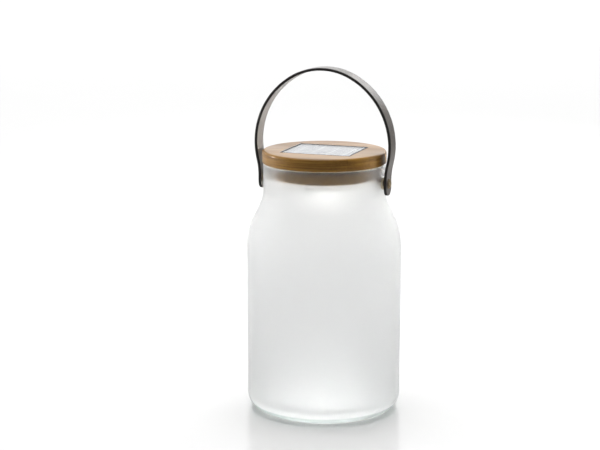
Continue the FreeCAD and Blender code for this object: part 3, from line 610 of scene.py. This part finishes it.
silicone = soft_rubber("clear_silicone", rgb(0.90, 0.88, 0.83), rgb(0.97, 0.96, 0.93),
                       {"Transmission Weight": 0.95, "IOR": 1.41})
milky = soft_rubber("milky_silicone", rgb(0.74, 0.65, 0.48), rgb(0.84, 0.76, 0.60), {"IOR": 1.41})
SEAL_IN, SEAL_OUT, SEAT, LIP_TOP = 39.35, 42.2, RIM_TOP + 0.02, RIM_TOP + 0.05
lip_walk = [
    (SEAL_IN + 0.1, LIP_TOP), (SEAL_IN, RIM_TOP - 0.1), (SEAL_IN, 183.4), (SEAL_OUT - 0.75, 183.4),
    (SEAL_OUT - 0.6, 183.5), (SEAL_OUT, 184.3), (SEAL_OUT, 184.55), (SEAL_OUT - 0.5, 184.75),
    (SEAL_OUT - 0.5, 184.95), (SEAL_OUT, 185.5), (SEAL_OUT, LIP_TOP), (SEAL_IN + 0.1, LIP_TOP),
]
flange_walk = [
    (SEAL_IN, SEAT), (44.85, SEAT), (45.0, 186.15), (45.0, 186.45), (44.85, DISC_LOW),
    (SEAL_IN, DISC_LOW), (SEAL_IN, SEAT),
]
fit(turned("seal_lips", silicone, lip_walk, 144), "seal", "silicone", "lid_seal")
fit(turned("seal_flange", milky, flange_walk, 144), "seal", "silicone")

# %% [markdown]
# ## Leather
# The strap is cut from dyed leather about two millimetres thick. Its faces have a fine pebbled grain
# and a waxed sheen, and its cut edges are painted nearly black. The creases of the grain carry a painted
# shade, and the inner face is painted a light grey-brown as a painted reflection of the bright studio. The
# grain must follow the strap round its bend, so it reads the strap's own attributes: how far along and
# across each point was on the flat strip, and how near it is to a cut edge.

# %% Leather
leather = Finish("waxed_leather", {"IOR": 1.4, "Coat IOR": 1.4, "Coat Roughness": 0.20})
flat = leather.own("flat_strip", "Vector")
edge = leather.own("cut_edge")
pebble = leather.cells(900.0, "SMOOTH_F1", flat)
crease = 1 - leather.rise(leather.cells(420.0, "DISTANCE_TO_EDGE", flat), 0.0, 0.11)
mottle = leather.noise(95.0, flat)
fibres = leather.noise(2600.0, flat)
face = leather.blend(mottle, rgb(0.028, 0.020, 0.014), rgb(0.055, 0.040, 0.029))
# painted shade: the creases of the grain are darkened in colour, on top of their relief
face = leather.blend(crease * 0.5, face, rgb(0.016, 0.013, 0.012))
# painted reflection: the inner face is coloured light grey-brown for the bright studio it mirrors
_, _, depth = leather.split(flat)
face = leather.blend(leather.rise(depth, 0.001, -0.001), face, rgb(0.285, 0.262, 0.238))
rim_tone = leather.blend(fibres, rgb(0.006, 0.005, 0.005), rgb(0.022, 0.018, 0.016))
leather.set({
    "Base Color": leather.blend(edge, face, rim_tone),
    "Roughness": 0.36 + (mottle - 0.5) * 0.16 + edge * 0.2,
    "Coat Weight": 0.21 * (1 - edge),
    "Normal": leather.relief(fibres, 0.00001, leather.relief((1 - pebble) - crease * 0.6, 0.00006)),
})
print("leather grain follows the flat strip")

# %% [markdown]
# ## The strap
# A strap is a flat strip bent to a line. The line is a walk again: up the leg, out to the widest place,
# in over the side and across the crown, then the mirror image down the other leg. The tree lays a grid
# along that line. One way round the grid is the strip's rounded section, the other is the way along,
# and near each tip the section narrows on a circle, which rounds the end.

# %% The strap's tree
strapping = Tree("bend_a_strap", Line="Object", Section="Object", Half_width="Float", Tip_round="Float",
                 Edge_round="Float", Steps="Int", Finish="Material")
line, section = strapping.shape_of("Line"), strapping.shape_of("Section")
around = strapping.count_of(section)
sheet = strapping.node("GeometryNodeMeshGrid", {},
                       {"Vertices X": strapping.given["Steps"], "Vertices Y": around})
index = strapping.node("GeometryNodeInputIndex")
step = strapping.sum("FLOOR", index / around)
share = step / (strapping.given["Steps"] - 1)
share = share - strapping.sum("SINE", share * math.tau) * (0.85 / math.tau)
length = strapping.node("GeometryNodeCurveLength", {}, {"Curve": line})
way = share * length
to_tip = strapping.sum("MINIMUM", way, length - way)
tip = strapping.given["Tip_round"]
inset = tip - strapping.sum("MINIMUM", to_tip, tip)
narrow = tip - strapping.sum("SQRT", tip * tip - inset * inset)
wide, _, thick = strapping.split(strapping.point_of(section, index - step * around))
half = strapping.given["Half_width"]
aside = wide * (half - narrow) / half
centre, tangent = strapping.node("GeometryNodeSampleCurve", {"mode": "LENGTH"},
                                 {"Curves": line, "Length": way}, out=("Position", "Tangent"))
outward = strapping.vector("CROSS_PRODUCT", (0.0, 1.0, 0.0), tangent)
lifted = strapping.node("ShaderNodeVectorMath", {"operation": "SCALE"},
                        {0: outward, "Scale": thick}, "Vector")
bent = strapping.vector("ADD", strapping.vector("ADD", centre, lifted), strapping.join(y=aside))
inside_rim = strapping.sum("ABSOLUTE", wide) - (half - strapping.given["Edge_round"])
at_tip = strapping.sum("LESS_THAN", to_tip, strapping.given["Edge_round"] * 0.4)
cut_edge = strapping.sum("MAXIMUM", strapping.sum("GREATER_THAN", inside_rim, -1e-6), at_tip)
sheet = strapping.node("GeometryNodeStoreNamedAttribute", {"data_type": "FLOAT_VECTOR"}, {
    "Geometry": sheet, "Name": "flat_strip", "Value": strapping.join(way, aside, thick * 3.0)})
sheet = strapping.node("GeometryNodeStoreNamedAttribute", {"data_type": "FLOAT"}, {
    "Geometry": sheet, "Name": "cut_edge", "Value": cut_edge})
strapping.close(strapping.merged(strapping.moved(sheet, bent)))
print("strap tree:", len(strapping.tree.nodes), "nodes")

# %% The strap
STRAP_HALF, STRAP_THICK, STRAP_HOLE, LEG, LEG_LOW, LEG_RUN = 6.75, 2.0, 2.48, 49.0, 164.5, 10.5
FLARE, FLARE_RISE, CROWN_RISE, CROWN_TURN, EDGE_ROUND = 3.0, 25.0, 55.7, 61.0, 0.55

flare_turn = 2 * math.degrees(math.atan2(FLARE, FLARE_RISE))
flare_radius = FLARE_RISE / (2 * math.sin(math.radians(flare_turn)))
widest = LEG + FLARE
turn_cos, turn_sin = math.cos(math.radians(CROWN_TURN)), math.sin(math.radians(CROWN_TURN))
spare = turn_cos + turn_sin - 1
side_radius = (CROWN_RISE * turn_cos - widest * (1 - turn_sin)) / spare
crown_radius = (widest * turn_sin - CROWN_RISE * (1 - turn_cos)) / spare
right = trace((LEG, LEG_LOW), 90.0, LEG_RUN, (flare_radius, -flare_turn), (flare_radius, flare_turn),
              (side_radius, CROWN_TURN), (crown_radius, 90 - CROWN_TURN))
strap_walk = right + [(-x, z) for x, z in reversed(right[:-1])]
flat_run = [(STRAP_HALF - EDGE_ROUND) / 8] * 16
cut_side = [(EDGE_ROUND, 90), STRAP_THICK - 2 * EDGE_ROUND, (EDGE_ROUND, 90)]
section_walk = trace((-STRAP_HALF + EDGE_ROUND, -STRAP_THICK / 2), 0.0, *(flat_run + cut_side) * 2)
strap_line, strap_section = guide("strap_line", strap_walk), guide("strap_section", section_walk)
strap = strapping.grow("handle_strap", Line=strap_line, Section=strap_section, Half_width=STRAP_HALF * MM,
                       Tip_round=(STRAP_HALF - 0.4) * MM, Edge_round=EDGE_ROUND * MM, Steps=240,
                       Finish=leather.material)
punch = prism("strap_punch", 40, STRAP_HOLE, -DRILL_REACH, DRILL_REACH)
place(punch, (90, "Y"), (0, 0, RIVET_UP))
cut_away(strap, punch)
fit(settle(strap, sharp=50.0), "handle", "leather", "leather_strap")
discard(strap_line, strap_section, punch)

# %% [markdown]
# ## Brass rivets
# Two domed rivets hold the strap to the neck. One rivet is turned standing up, and a second tree sets
# copies of a piece in a ring and tips them outwards. The same tree will place the screws later. The
# brass is aged: a brown patina in patches over brighter metal, with fine scratches.

# %% A tree for copies in a ring
ringing = Tree("copies_in_a_ring", Piece="Object", Count="Int", Radius="Float", Height="Float",
               Start="Float", Tilt="Float", Finish="Material")
points = ringing.node("GeometryNodeMeshLine", {}, {"Count": ringing.given["Count"]})
turn_to = ringing.node("GeometryNodeInputIndex") * math.tau / ringing.given["Count"] + ringing.given["Start"]
spot = ringing.join(ringing.given["Radius"] * ringing.sum("COSINE", turn_to),
                    ringing.given["Radius"] * ringing.sum("SINE", turn_to), ringing.given["Height"])
points = ringing.moved(points, spot)
tipped = ringing.join(0.0, ringing.given["Tilt"], turn_to)
facing = ringing.node("FunctionNodeEulerToRotation", {}, {0: tipped})
copies = ringing.node("GeometryNodeInstanceOnPoints", {}, {
    "Points": points, "Instance": ringing.shape_of("Piece"), "Rotation": facing})
ringing.close(copies)
print("ring tree:", len(ringing.tree.nodes), "nodes")

# %% Rivets and spacers
brass = Finish("aged_brass", {"Metallic": 1.0})
patina = brass.noise(420.0, detail=5.0)
scratch = brass.noise(1.0, brass.stretched((260.0, 9000.0, 9000.0)))
tone = brass.blend(brass.rise(patina, 0.35, 0.68), rgb(0.14, 0.10, 0.06), rgb(0.52, 0.42, 0.27))
brass.set({
    "Base Color": tone,
    "Roughness": 0.40 + patina * 0.22,
    "Normal": brass.relief(scratch, 0.000008),
})


def ring_of(name, finish, walk, cutters=(), segments=64, **sizes):
    """Turn a small piece, cut it, and set copies of it in a ring."""
    one = turned(name + "_one", finish, walk, segments, *cutters)
    many = settle(ringing.grow(name, Piece=one, Finish=finish.material, **sizes))
    discard(one)
    return many


OUTWARD = {"Count": 2, "Radius": 0.0, "Height": RIVET_UP * MM, "Start": 0.0, "Tilt": math.pi / 2}
HEAD, HEAD_SAG, POST, POST_END, HEAD_LOW = 3.8, 1.3, 2.4, 41.3, 50.1
dome = dome_radius(HEAD, HEAD_SAG)
lean = math.degrees(math.asin(HEAD / dome))
rivet_walk = [(0.0, POST_END), (2.1, POST_END), (POST, 41.6), (POST, HEAD_LOW), (3.7, HEAD_LOW), (HEAD, 50.2)]
rivet_walk += trace((HEAD, 50.4), 180 - lean, (dome, lean))
rivets = ring_of("strap_rivets", brass, rivet_walk, **OUTWARD)
fit(rivets, "jar", "antique_brass", "rivet_posts")
BORE, RING, SPACER_IN, SPACER_OUT = 2.46, 4.4, 46.4, 47.9
spacer_walk = [
    (BORE, SPACER_IN), (4.15, SPACER_IN), (RING, 46.65), (RING, 47.65), (4.15, SPACER_OUT),
    (BORE, SPACER_OUT), (BORE, SPACER_IN),
]
spacers = ring_of("strap_spacers", brass, spacer_walk, **OUTWARD)
fit(spacers, "jar", "antique_brass", "spacer_washers")

# %% [markdown]
# ## The solar panel
# The panel is a sandwich: a pale backing, four dark cell strips with printed silver lines, and a clear
# cover. A picture could stand for the lines, but real ones keep their shine from every side. They are
# copies of a thin plate on a lattice, made by one more tree. The cells are bonded to the cover, so they
# have no gloss of their own.

# %% A tree for copies on a lattice
lattice = Tree("copies_on_a_lattice", Piece="Object", Columns="Int", Rows="Int", Pitch_x="Float",
               Pitch_y="Float", Centre="Vector", Finish="Material")
columns, rows = lattice.given["Columns"], lattice.given["Rows"]
points = lattice.node("GeometryNodeMeshLine", {}, {"Count": columns * rows})
index = lattice.node("GeometryNodeInputIndex")
column = lattice.sum("FLOOR", index / rows)
spot = lattice.join((column - (columns - 1) / 2) * lattice.given["Pitch_x"],
                    (index - column * rows - (rows - 1) / 2) * lattice.given["Pitch_y"])
spot = lattice.vector("ADD", spot, lattice.given["Centre"])
points = lattice.moved(points, spot)
lattice.close(lattice.node("GeometryNodeInstanceOnPoints", {}, {
    "Points": points, "Instance": lattice.shape_of("Piece")}))
print("lattice tree:", len(lattice.tree.nodes), "nodes")


def slab(name, length, width, thickness, edge):
    """A flat plate centred on X and Y and standing on Z 0, with its edges softened."""
    mesh = bmesh.new()
    bmesh.ops.create_cube(mesh, size=1.0)
    bmesh.ops.scale(mesh, vec=(length * MM, width * MM, thickness * MM), verts=mesh.verts)
    bmesh.ops.translate(mesh, vec=(0.0, 0.0, thickness * MM / 2), verts=mesh.verts)
    if edge:
        bmesh.ops.bevel(mesh, geom=mesh.edges[:], offset=edge * MM, segments=2, profile=0.5, affect="EDGES")
    return from_bmesh(name, mesh)


def coated(plate, finish):
    """A plain plate with its finish and crisp edges."""
    plate.data.materials.append(finish.material)
    return settle(plate, sharp=20.0)


def copies_of(name, finish, one, columns, rows, pitch_x, pitch_y, centre):
    many = lattice.grow(name, Piece=one, Columns=columns, Rows=rows, Pitch_x=pitch_x * MM,
                        Pitch_y=pitch_y * MM, Centre=[c * MM for c in centre], Finish=finish.material)
    settle(many, sharp=20.0)
    discard(one)
    return many


# %% Cells and printed lines
cell = Finish("dark_cell", {"Specular IOR Level": 0.0})
cell_noise = cell.noise(240.0)
cell.set({
    "Base Color": cell.blend(cell_noise, rgb(0.006, 0.008, 0.020), rgb(0.014, 0.020, 0.052)),
    "Roughness": 0.05 + cell_noise * 0.05,
})
silver = Finish("printed_silver", {"Metallic": 1.0})
print_grain = silver.noise(3000.0)
silver.set({
    "Base Color": silver.blend(print_grain, rgb(0.46, 0.47, 0.49), rgb(0.72, 0.73, 0.74)),
    "Roughness": 0.30 + print_grain * 0.25,
    "Normal": silver.relief(print_grain, 0.000006),
})
CELL_X, CELL_Y, CELL_PITCH, CELL_LOW = 12.05, 42.0, 12.65, 194.5
strip = slab("cell_one", CELL_X, CELL_Y, 0.2, 0.04)
cells = copies_of("cell_strips", cell, strip, 4, 1, CELL_PITCH, 0.0, (0.0, 0.0, CELL_LOW))
fit(cells, "lid", "solar_cell", "solar_cells")
finger = slab("finger_one", CELL_X - 0.6, 0.2, 0.025, 0.0)
fingers = copies_of("cell_fingers", silver, finger, 4, 15, CELL_PITCH, 2.8, (0.0, 0.0, CELL_LOW + 0.2))
fit(fingers, "lid", "steel")
busbar = slab("busbar_one", 0.8, CELL_Y - 1.0, 0.035, 0.0)
busbars = copies_of("cell_busbars", silver, busbar, 4, 1, CELL_PITCH, 0.0, (0.0, 0.0, CELL_LOW + 0.2))
fit(busbars, "lid", "steel")

# %% [markdown]
# ## Cover and painted gap shade
# At a low angle the cover mirrors the bright backdrop, and from above it shows the cells. Refracting glass
# does both, but few rays then find the mirrored lamps, and the panel is full of specks. So this is a thin
# gloss that Alpha makes see-through, and a Layer Weight node makes it denser at a low angle; its pale grey
# base colour is a painted reflection of the backdrop. A black bead laps over the panel's edge as a thin dark
# outline, a painted shade for the gap round the panel.

# %% Cover and painted gap shade
clear = Finish("clear_cover", {"IOR": 1.5})
smear_and_painted_reflection = clear.noise(55.0, detail=4.0)
painted_reflection_at_low_angle = clear.node("ShaderNodeLayerWeight", {}, {"Blend": 0.5}, "Facing")
# painted reflection: the cover's pale grey colour, denser at a low angle, stands for the mirrored backdrop
clear.set({
    "Base Color": clear.blend(smear_and_painted_reflection, rgb(0.66, 0.69, 0.72), rgb(0.74, 0.76, 0.78)),
    "Roughness": 0.12 + clear.rise(smear_and_painted_reflection, 0.45, 0.75) * 0.03,
    "Alpha": 0.05 + clear.rise(painted_reflection_at_low_angle, 0.5, 0.95) * 0.42,
})
COVER_AT, COVER_THICK = 194.75, 0.75
cover = place(slab("panel_window", PANEL_X, PANEL_Y, COVER_THICK, 0.18), at=(0, 0, COVER_AT))
fit(coated(cover, clear), "lid", "panel_cover", "panel_cover")

wide, deep = PANEL_X + 2 * RECESS_GAP - 0.02, PANEL_Y + 2 * RECESS_GAP - 0.02
# painted shade: a black bead fills the gap round the panel and laps over its edge as a dark outline
gap_shade_bead = place(slab("panel_sealant", wide, deep, 2.4, 0.0), at=(0, 0, RECESS_FLOOR + 0.2))
panel_room = prism("panel_room", 4, (PANEL_X / 2 + 0.01, PANEL_Y / 2 + 0.01), RECESS_FLOOR - 1.0, 195.51)
sight = prism("sight", 4, (PANEL_X / 2 - 0.55, PANEL_Y / 2 - 0.55), RECESS_FLOOR - 1.0, DISC_TOP + 1.0)
cut_away(gap_shade_bead, panel_room, sight)
gap_shade_finish = Finish("black_sealant", {"IOR": 1.4})
gap_shade_grain = gap_shade_finish.noise(1600.0)
gap_shade_finish.set({
    "Base Color": gap_shade_finish.blend(gap_shade_grain, rgb(0.008, 0.008, 0.009), rgb(0.022, 0.022, 0.024)),
    "Roughness": 0.5 + gap_shade_grain * 0.2,
    "Normal": gap_shade_finish.relief(gap_shade_grain, 0.00003),
})
fit(coated(gap_shade_bead, gap_shade_finish), "lid", "black_plastic")
discard(panel_room, sight)

# %% [markdown]
# ## Plain finishes of the light module
# The module under the lid is white moulded plastic with an opal lens. Most of it is hidden, so most of
# its imported shapes stay, and each gets the finish of its real material: a fine spark-eroded texture on
# plastic, brushing on steel, a weave in the circuit board. The lamp is on, so the lens shines. The white
# plastic is no lamp, but its emission colour paints a glow on it: most near the lens, less on the solid
# cover further out, and more again in the thin flange round it.

# %% Moulded plastic, steel and the rest
def moulded(name, dark, light, rough, same=None):
    """Moulded plastic: a fine even texture and a slow change of tone."""
    made = Finish(name, same)
    texture = made.noise(2400.0, detail=2.0)
    flow = made.noise(70.0)
    made.set({
        "Base Color": made.blend(flow, dark, light),
        "Roughness": rough + (texture - 0.5) * 0.2,
        "Normal": made.relief(texture, 0.000012),
    })
    return made


white_plastic = moulded("glowing_white", rgb(0.74, 0.74, 0.72), rgb(0.82, 0.82, 0.80), 0.45,
                        {"Emission Strength": 1.0})
# painted glow: the white plastic is no lamp, yet it emits light, most near the lens and in the flange
out = white_plastic.off_axis()
near_lens = 1 - white_plastic.rise(out, 0.00015, 0.0006)
in_flange = white_plastic.rise(out, 0.00098, 0.00099)
glow = 0.3 + near_lens * 0.5 + in_flange * 0.4
LAMP_WHITE = rgb(1.0, 0.98, 0.95)
white_plastic.set({"Emission Color": white_plastic.blend(glow, rgb(0.0, 0.0, 0.0), LAMP_WHITE)})
black_plastic = moulded("moulded_black", rgb(0.012, 0.012, 0.013), rgb(0.03, 0.03, 0.032), 0.42)
opal = moulded("lit_opal", rgb(0.82, 0.82, 0.80), rgb(0.90, 0.90, 0.88), 0.30,
               {"Emission Color": LAMP_WHITE, "Emission Strength": 6.5})

steel = Finish("satin_steel", {"Metallic": 1.0})
brushed = steel.noise(1.0, steel.stretched((300.0, 7000.0, 7000.0)))
steel.set({
    "Base Color": steel.blend(brushed, rgb(0.42, 0.42, 0.43), rgb(0.60, 0.60, 0.61)),
    "Roughness": 0.26 + brushed * 0.2,
    "Normal": steel.relief(brushed, 0.000008),
})
board = Finish("green_board", {"Coat Weight": 0.3, "Coat Roughness": 0.2})
x, y, _ = board.split(board.spot())
weave = board.sum("SINE", x * 9000.0) * board.sum("SINE", y * 9000.0) * 0.5 + 0.5
tracks = board.rise(board.cells(260.0, "DISTANCE_TO_EDGE"), 0.10, 0.16)
board.set({
    "Base Color": board.blend(tracks, rgb(0.020, 0.110, 0.045), rgb(0.012, 0.062, 0.026)),
    "Roughness": 0.36 + weave * 0.1,
    "Normal": board.relief(weave * 0.3 - tracks, 0.00002),
})
print("finishes so far:", len(bpy.data.materials))

# %% [markdown]
# ## The lens
# A shallow opal dome stands through the cover and spreads the light of the four diodes. Its outside is
# smooth, and inside it is moulded in steps, like a Fresnel lens, so each ring throws the light a little
# further out. The outline is an arc outside and a staircase along a second arc inside.

# %% The lens
LENS, LENS_SAG, LENS_WALL, COVER_LOW, COVER_IN = 11.8, 5.0, 1.3, 171.5, 173.3
lens_low = COVER_LOW - LENS_SAG
outer = dome_radius(LENS, LENS_SAG)
inner = dome_radius(LENS - LENS_WALL, LENS_SAG - LENS_WALL)
lens_walk = trace((0.0, lens_low), 0.0, (outer, math.degrees(math.asin(LENS / outer))))
lens_walk += [(LENS, COVER_IN), (LENS + 1.8, COVER_IN)]
lens_walk += [(LENS + 1.8, COVER_IN + 1.0), (LENS - LENS_WALL, COVER_IN + 1.0)]
for step in range(10, 0, -1):
    reach = (LENS - LENS_WALL) * step / 10
    level = lens_low + LENS_WALL + inner - math.sqrt(inner ** 2 - reach ** 2)
    lens_walk += [(reach, level), (reach - 0.1, level - 0.3)]
lens_walk += [(0.0, lens_low + LENS_WALL - 0.2)]
fit(turned("lens_dome", opal, lens_walk, 96), "lid", "diffuser", "diffuser_lens")

# %% [markdown]
# ## Screws
# Three screws hold the module to the plug and three hold its cover. One screw is turned with its thread
# as plain ridges, a cross is cut into the head, and the ring tree sets three of them. The ridges are no
# helix, but the shank is hidden in its hole, and a turned piece stays light.

# %% Screws
def screw_walk(face, length):
    """A round head with its face down at the height face, and a ridged shank above it."""
    neck, end = face + 1.1, face + 1.1 + length
    walk = [(0.0, face), (1.7, face), (2.05, face + 0.12), (2.2, face + 0.4), (2.2, neck), (1.1, neck)]
    ridges = int((length - 1.2) / 0.7)
    for ridge in range(ridges):
        level = neck + 0.3 + 0.7 * ridge
        walk += [(1.1, level), (0.86, level + 0.3), (0.86, level + 0.4)]
    return walk + [(1.1, end - 0.9), (0.35, end), (0.0, end)]


def cross(face):
    """Two flat cutters for the cross recess of a head whose face is at the height face."""
    return [prism("cross_a", 4, (1.25, 0.24), face - 0.3, face + 0.75),
            prism("cross_b", 4, (0.24, 1.25), face - 0.3, face + 0.75)]


for name, node, face, length, ring_radius, start in (
        ("cover_cross_screws", "cover_screws", COVER_LOW, 12.4, 26.1, 90.0),
        ("housing_cross_screws", "housing_screws", 172.9, 7.95, SCREW_RING, 30.0)):
    screws = ring_of(name, steel, screw_walk(face, length), cross(face), segments=40, Count=3,
                     Radius=ring_radius * MM, Height=0.0, Start=math.radians(start), Tilt=0.0)
    fit(screws, "lid", "steel", node)

# %% [markdown]
# ## The switch knob
# The knob is a small block with soft edges on a stem, and five ribs give a fingertip its grip. The ribs
# come from the lattice tree. All three pieces hang on the switch, so they slide with it.

# %% The switch knob
KNOB_X, KNOB_Y, KNOB_LOW = -1.0, -22.0, 169.4
knob = place(slab("switch_knob", 4.0, 3.2, 1.55, 0.25), at=(KNOB_X, KNOB_Y, KNOB_LOW + 0.25))
stem = place(slab("switch_stem", 2.4, 2.0, 4.3, 0.15), at=(KNOB_X, KNOB_Y, KNOB_LOW + 1.8))
fit(coated(knob, black_plastic), "switch", "black_plastic", "switch_slider")
fit(coated(stem, black_plastic), "switch", "black_plastic")
ribs = copies_of("knob_ribs", black_plastic, slab("rib_one", 0.34, 2.6, 0.5, 0.1), 5, 1, 0.72, 0.0,
                 (KNOB_X, KNOB_Y, KNOB_LOW))
fit(ribs, "switch", "black_plastic")

# %% [markdown]
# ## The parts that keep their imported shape
# What is left is hidden inside the module or small behind the glass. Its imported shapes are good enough,
# so each one only gets the finish of its own material.

# %% One finish for each material
FINISH_OF = {
    "white_plastic": white_plastic, "black_plastic": black_plastic, "steel": steel,
    "circuit_board": board, "antique_brass": brass, "silicone": milky,
    "component": moulded("dark_component", rgb(0.010, 0.010, 0.011), rgb(0.022, 0.022, 0.024), 0.5),
    "panel_backing": moulded("pale_backing", rgb(0.60, 0.61, 0.60), rgb(0.72, 0.73, 0.72), 0.55),
    "foam_tape": moulded("soft_tape", rgb(0.50, 0.50, 0.48), rgb(0.66, 0.66, 0.63), 0.8),
    "lead_wire": moulded("red_wire", rgb(0.36, 0.02, 0.015), rgb(0.50, 0.04, 0.03), 0.4),
    "battery_sleeve": moulded("green_sleeve", rgb(0.02, 0.09, 0.045), rgb(0.035, 0.13, 0.065), 0.25,
                              {"Coat Weight": 0.5}),
    "emitter": moulded("phosphor", rgb(0.80, 0.62, 0.20), rgb(0.92, 0.76, 0.32), 0.35),
}
print(len(FINISH_OF), "finishes for packed nodes")

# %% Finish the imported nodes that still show
dressed = []
for name, node in frame["nodes"].items():
    if node.hide_render:
        continue
    slot_name = node.material_slots[0].material.name
    node.material_slots[0].material = FINISH_OF[slot_name].material
    dressed.append(name)
print("dressed", ", ".join(dressed))

# %% [markdown]
# ## Floor
# A plain pale floor with a little gloss mirrors the jar's foot faintly, and further back it mirrors the
# bright backdrop. Its colour is a touch greyer where the jar stands, a painted shade, so that the soft shade
# round the foot isn't lost in pure white.

# %% Floor
floor_finish = Finish("studio_floor", {"IOR": 1.45})
haze = floor_finish.noise(6.0)
# painted shade: the floor's colour darkens towards the jar and lightens further out
away = floor_finish.rise(floor_finish.off_axis(), 0.01, 0.36)
floor_finish.set({
    "Base Color": floor_finish.blend(away * 0.9 + haze * 0.1, rgb(0.73, 0.73, 0.73), rgb(0.83, 0.83, 0.83)),
    "Roughness": 0.2,
})
ground_mesh = bmesh.new()
bmesh.ops.create_grid(ground_mesh, x_segments=8, y_segments=8, size=9.0)
bmesh.ops.translate(ground_mesh, vec=(0.0, 0.0, -0.0002), verts=ground_mesh.verts)
floor = from_bmesh("floor", ground_mesh)
floor.data.materials.append(floor_finish.material)
print("floor", round(floor.dimensions.x, 1), "m wide")

# %% [markdown]
# ## Light
# The studio is a white tent: bright behind, softer at the sides and dim in front, which leaves the rounded
# lid darker in its middle. A big box overhead lights the floor, a small one behind draws the outline, and
# two at the sides fill the shade. Two narrow ones with grids brighten only the ends of the lid. Boxes that
# would show as white squares in a mirror are hidden from it. The lamp in the lid is on, so a small disk
# of light under the lens throws its beam on the base. Light has to cross many layers of rough glass, so
# the number of bounces is raised.

# %% Soft studio light
world = bpy.data.worlds.new("studio")
world.use_nodes = True
scene.world = world
sky = Graph(world.node_tree)
aim = sky.node("ShaderNodeTexCoord", out="Generated")
behind = sky.vector("DOT_PRODUCT", aim, (-0.342, 0.940, 0.0), out="Value")
tent = sky.rise(behind, -0.8, 0.1, 0.05, 0.40)
backdrop = sky.rise(behind, 0.72, 0.97, 0.0, 1.45)
background = world.node_tree.nodes["Background"]
sky.feed(background, "Strength", tent + backdrop)
sky.feed(background, "Color", rgb(1.0, 1.0, 1.0))


def softbox(name, at, size, power, aim=0.12, spread=180.0):
    """A square area light aimed at a height on the axis; a small spread stands for a grid on it."""
    light = bpy.data.lights.new(name, "AREA")
    light.size, light.energy, light.spread = size, power, math.radians(spread)
    made = add(name, light)
    made.location = at
    made.rotation_euler = (Vector((0.0, 0.0, aim)) - made.location).to_track_quat("-Z", "Y").to_euler()
    return made


softbox("overhead", (-0.05, 0.08, 1.35), 1.0, 15.0)
softbox("left_grid", (-0.80, 0.0, 0.32), 0.25, 0.165, aim=0.23, spread=20.0)
for unseen in (softbox("right_grid", (0.62, 0.50, 0.32), 0.25, 0.190, aim=0.23, spread=20.0),
               softbox("left_light", (-0.78, -0.20, 0.35), 0.5, 1.4),
               softbox("right_light", (0.72, 0.35, 0.35), 0.5, 1.3)):
    unseen.visible_glossy = False
softbox("back_light", (0.13, 1.27, 0.72), 0.5, 1.9)

beam = bpy.data.lights.new("lamp_beam", "AREA")
beam.shape, beam.size, beam.energy, beam.spread = "DISK", 0.02, 0.45, math.radians(38.0)
add("lamp_beam", beam).location = (0.0, 0.0, 0.1655)

scene.cycles.max_bounces, scene.cycles.transmission_bounces = 32, 28
scene.cycles.glossy_bounces, scene.cycles.diffuse_bounces = 16, 8
scene.view_settings.view_transform = "Standard"
print(len(bpy.data.lights), "lights")
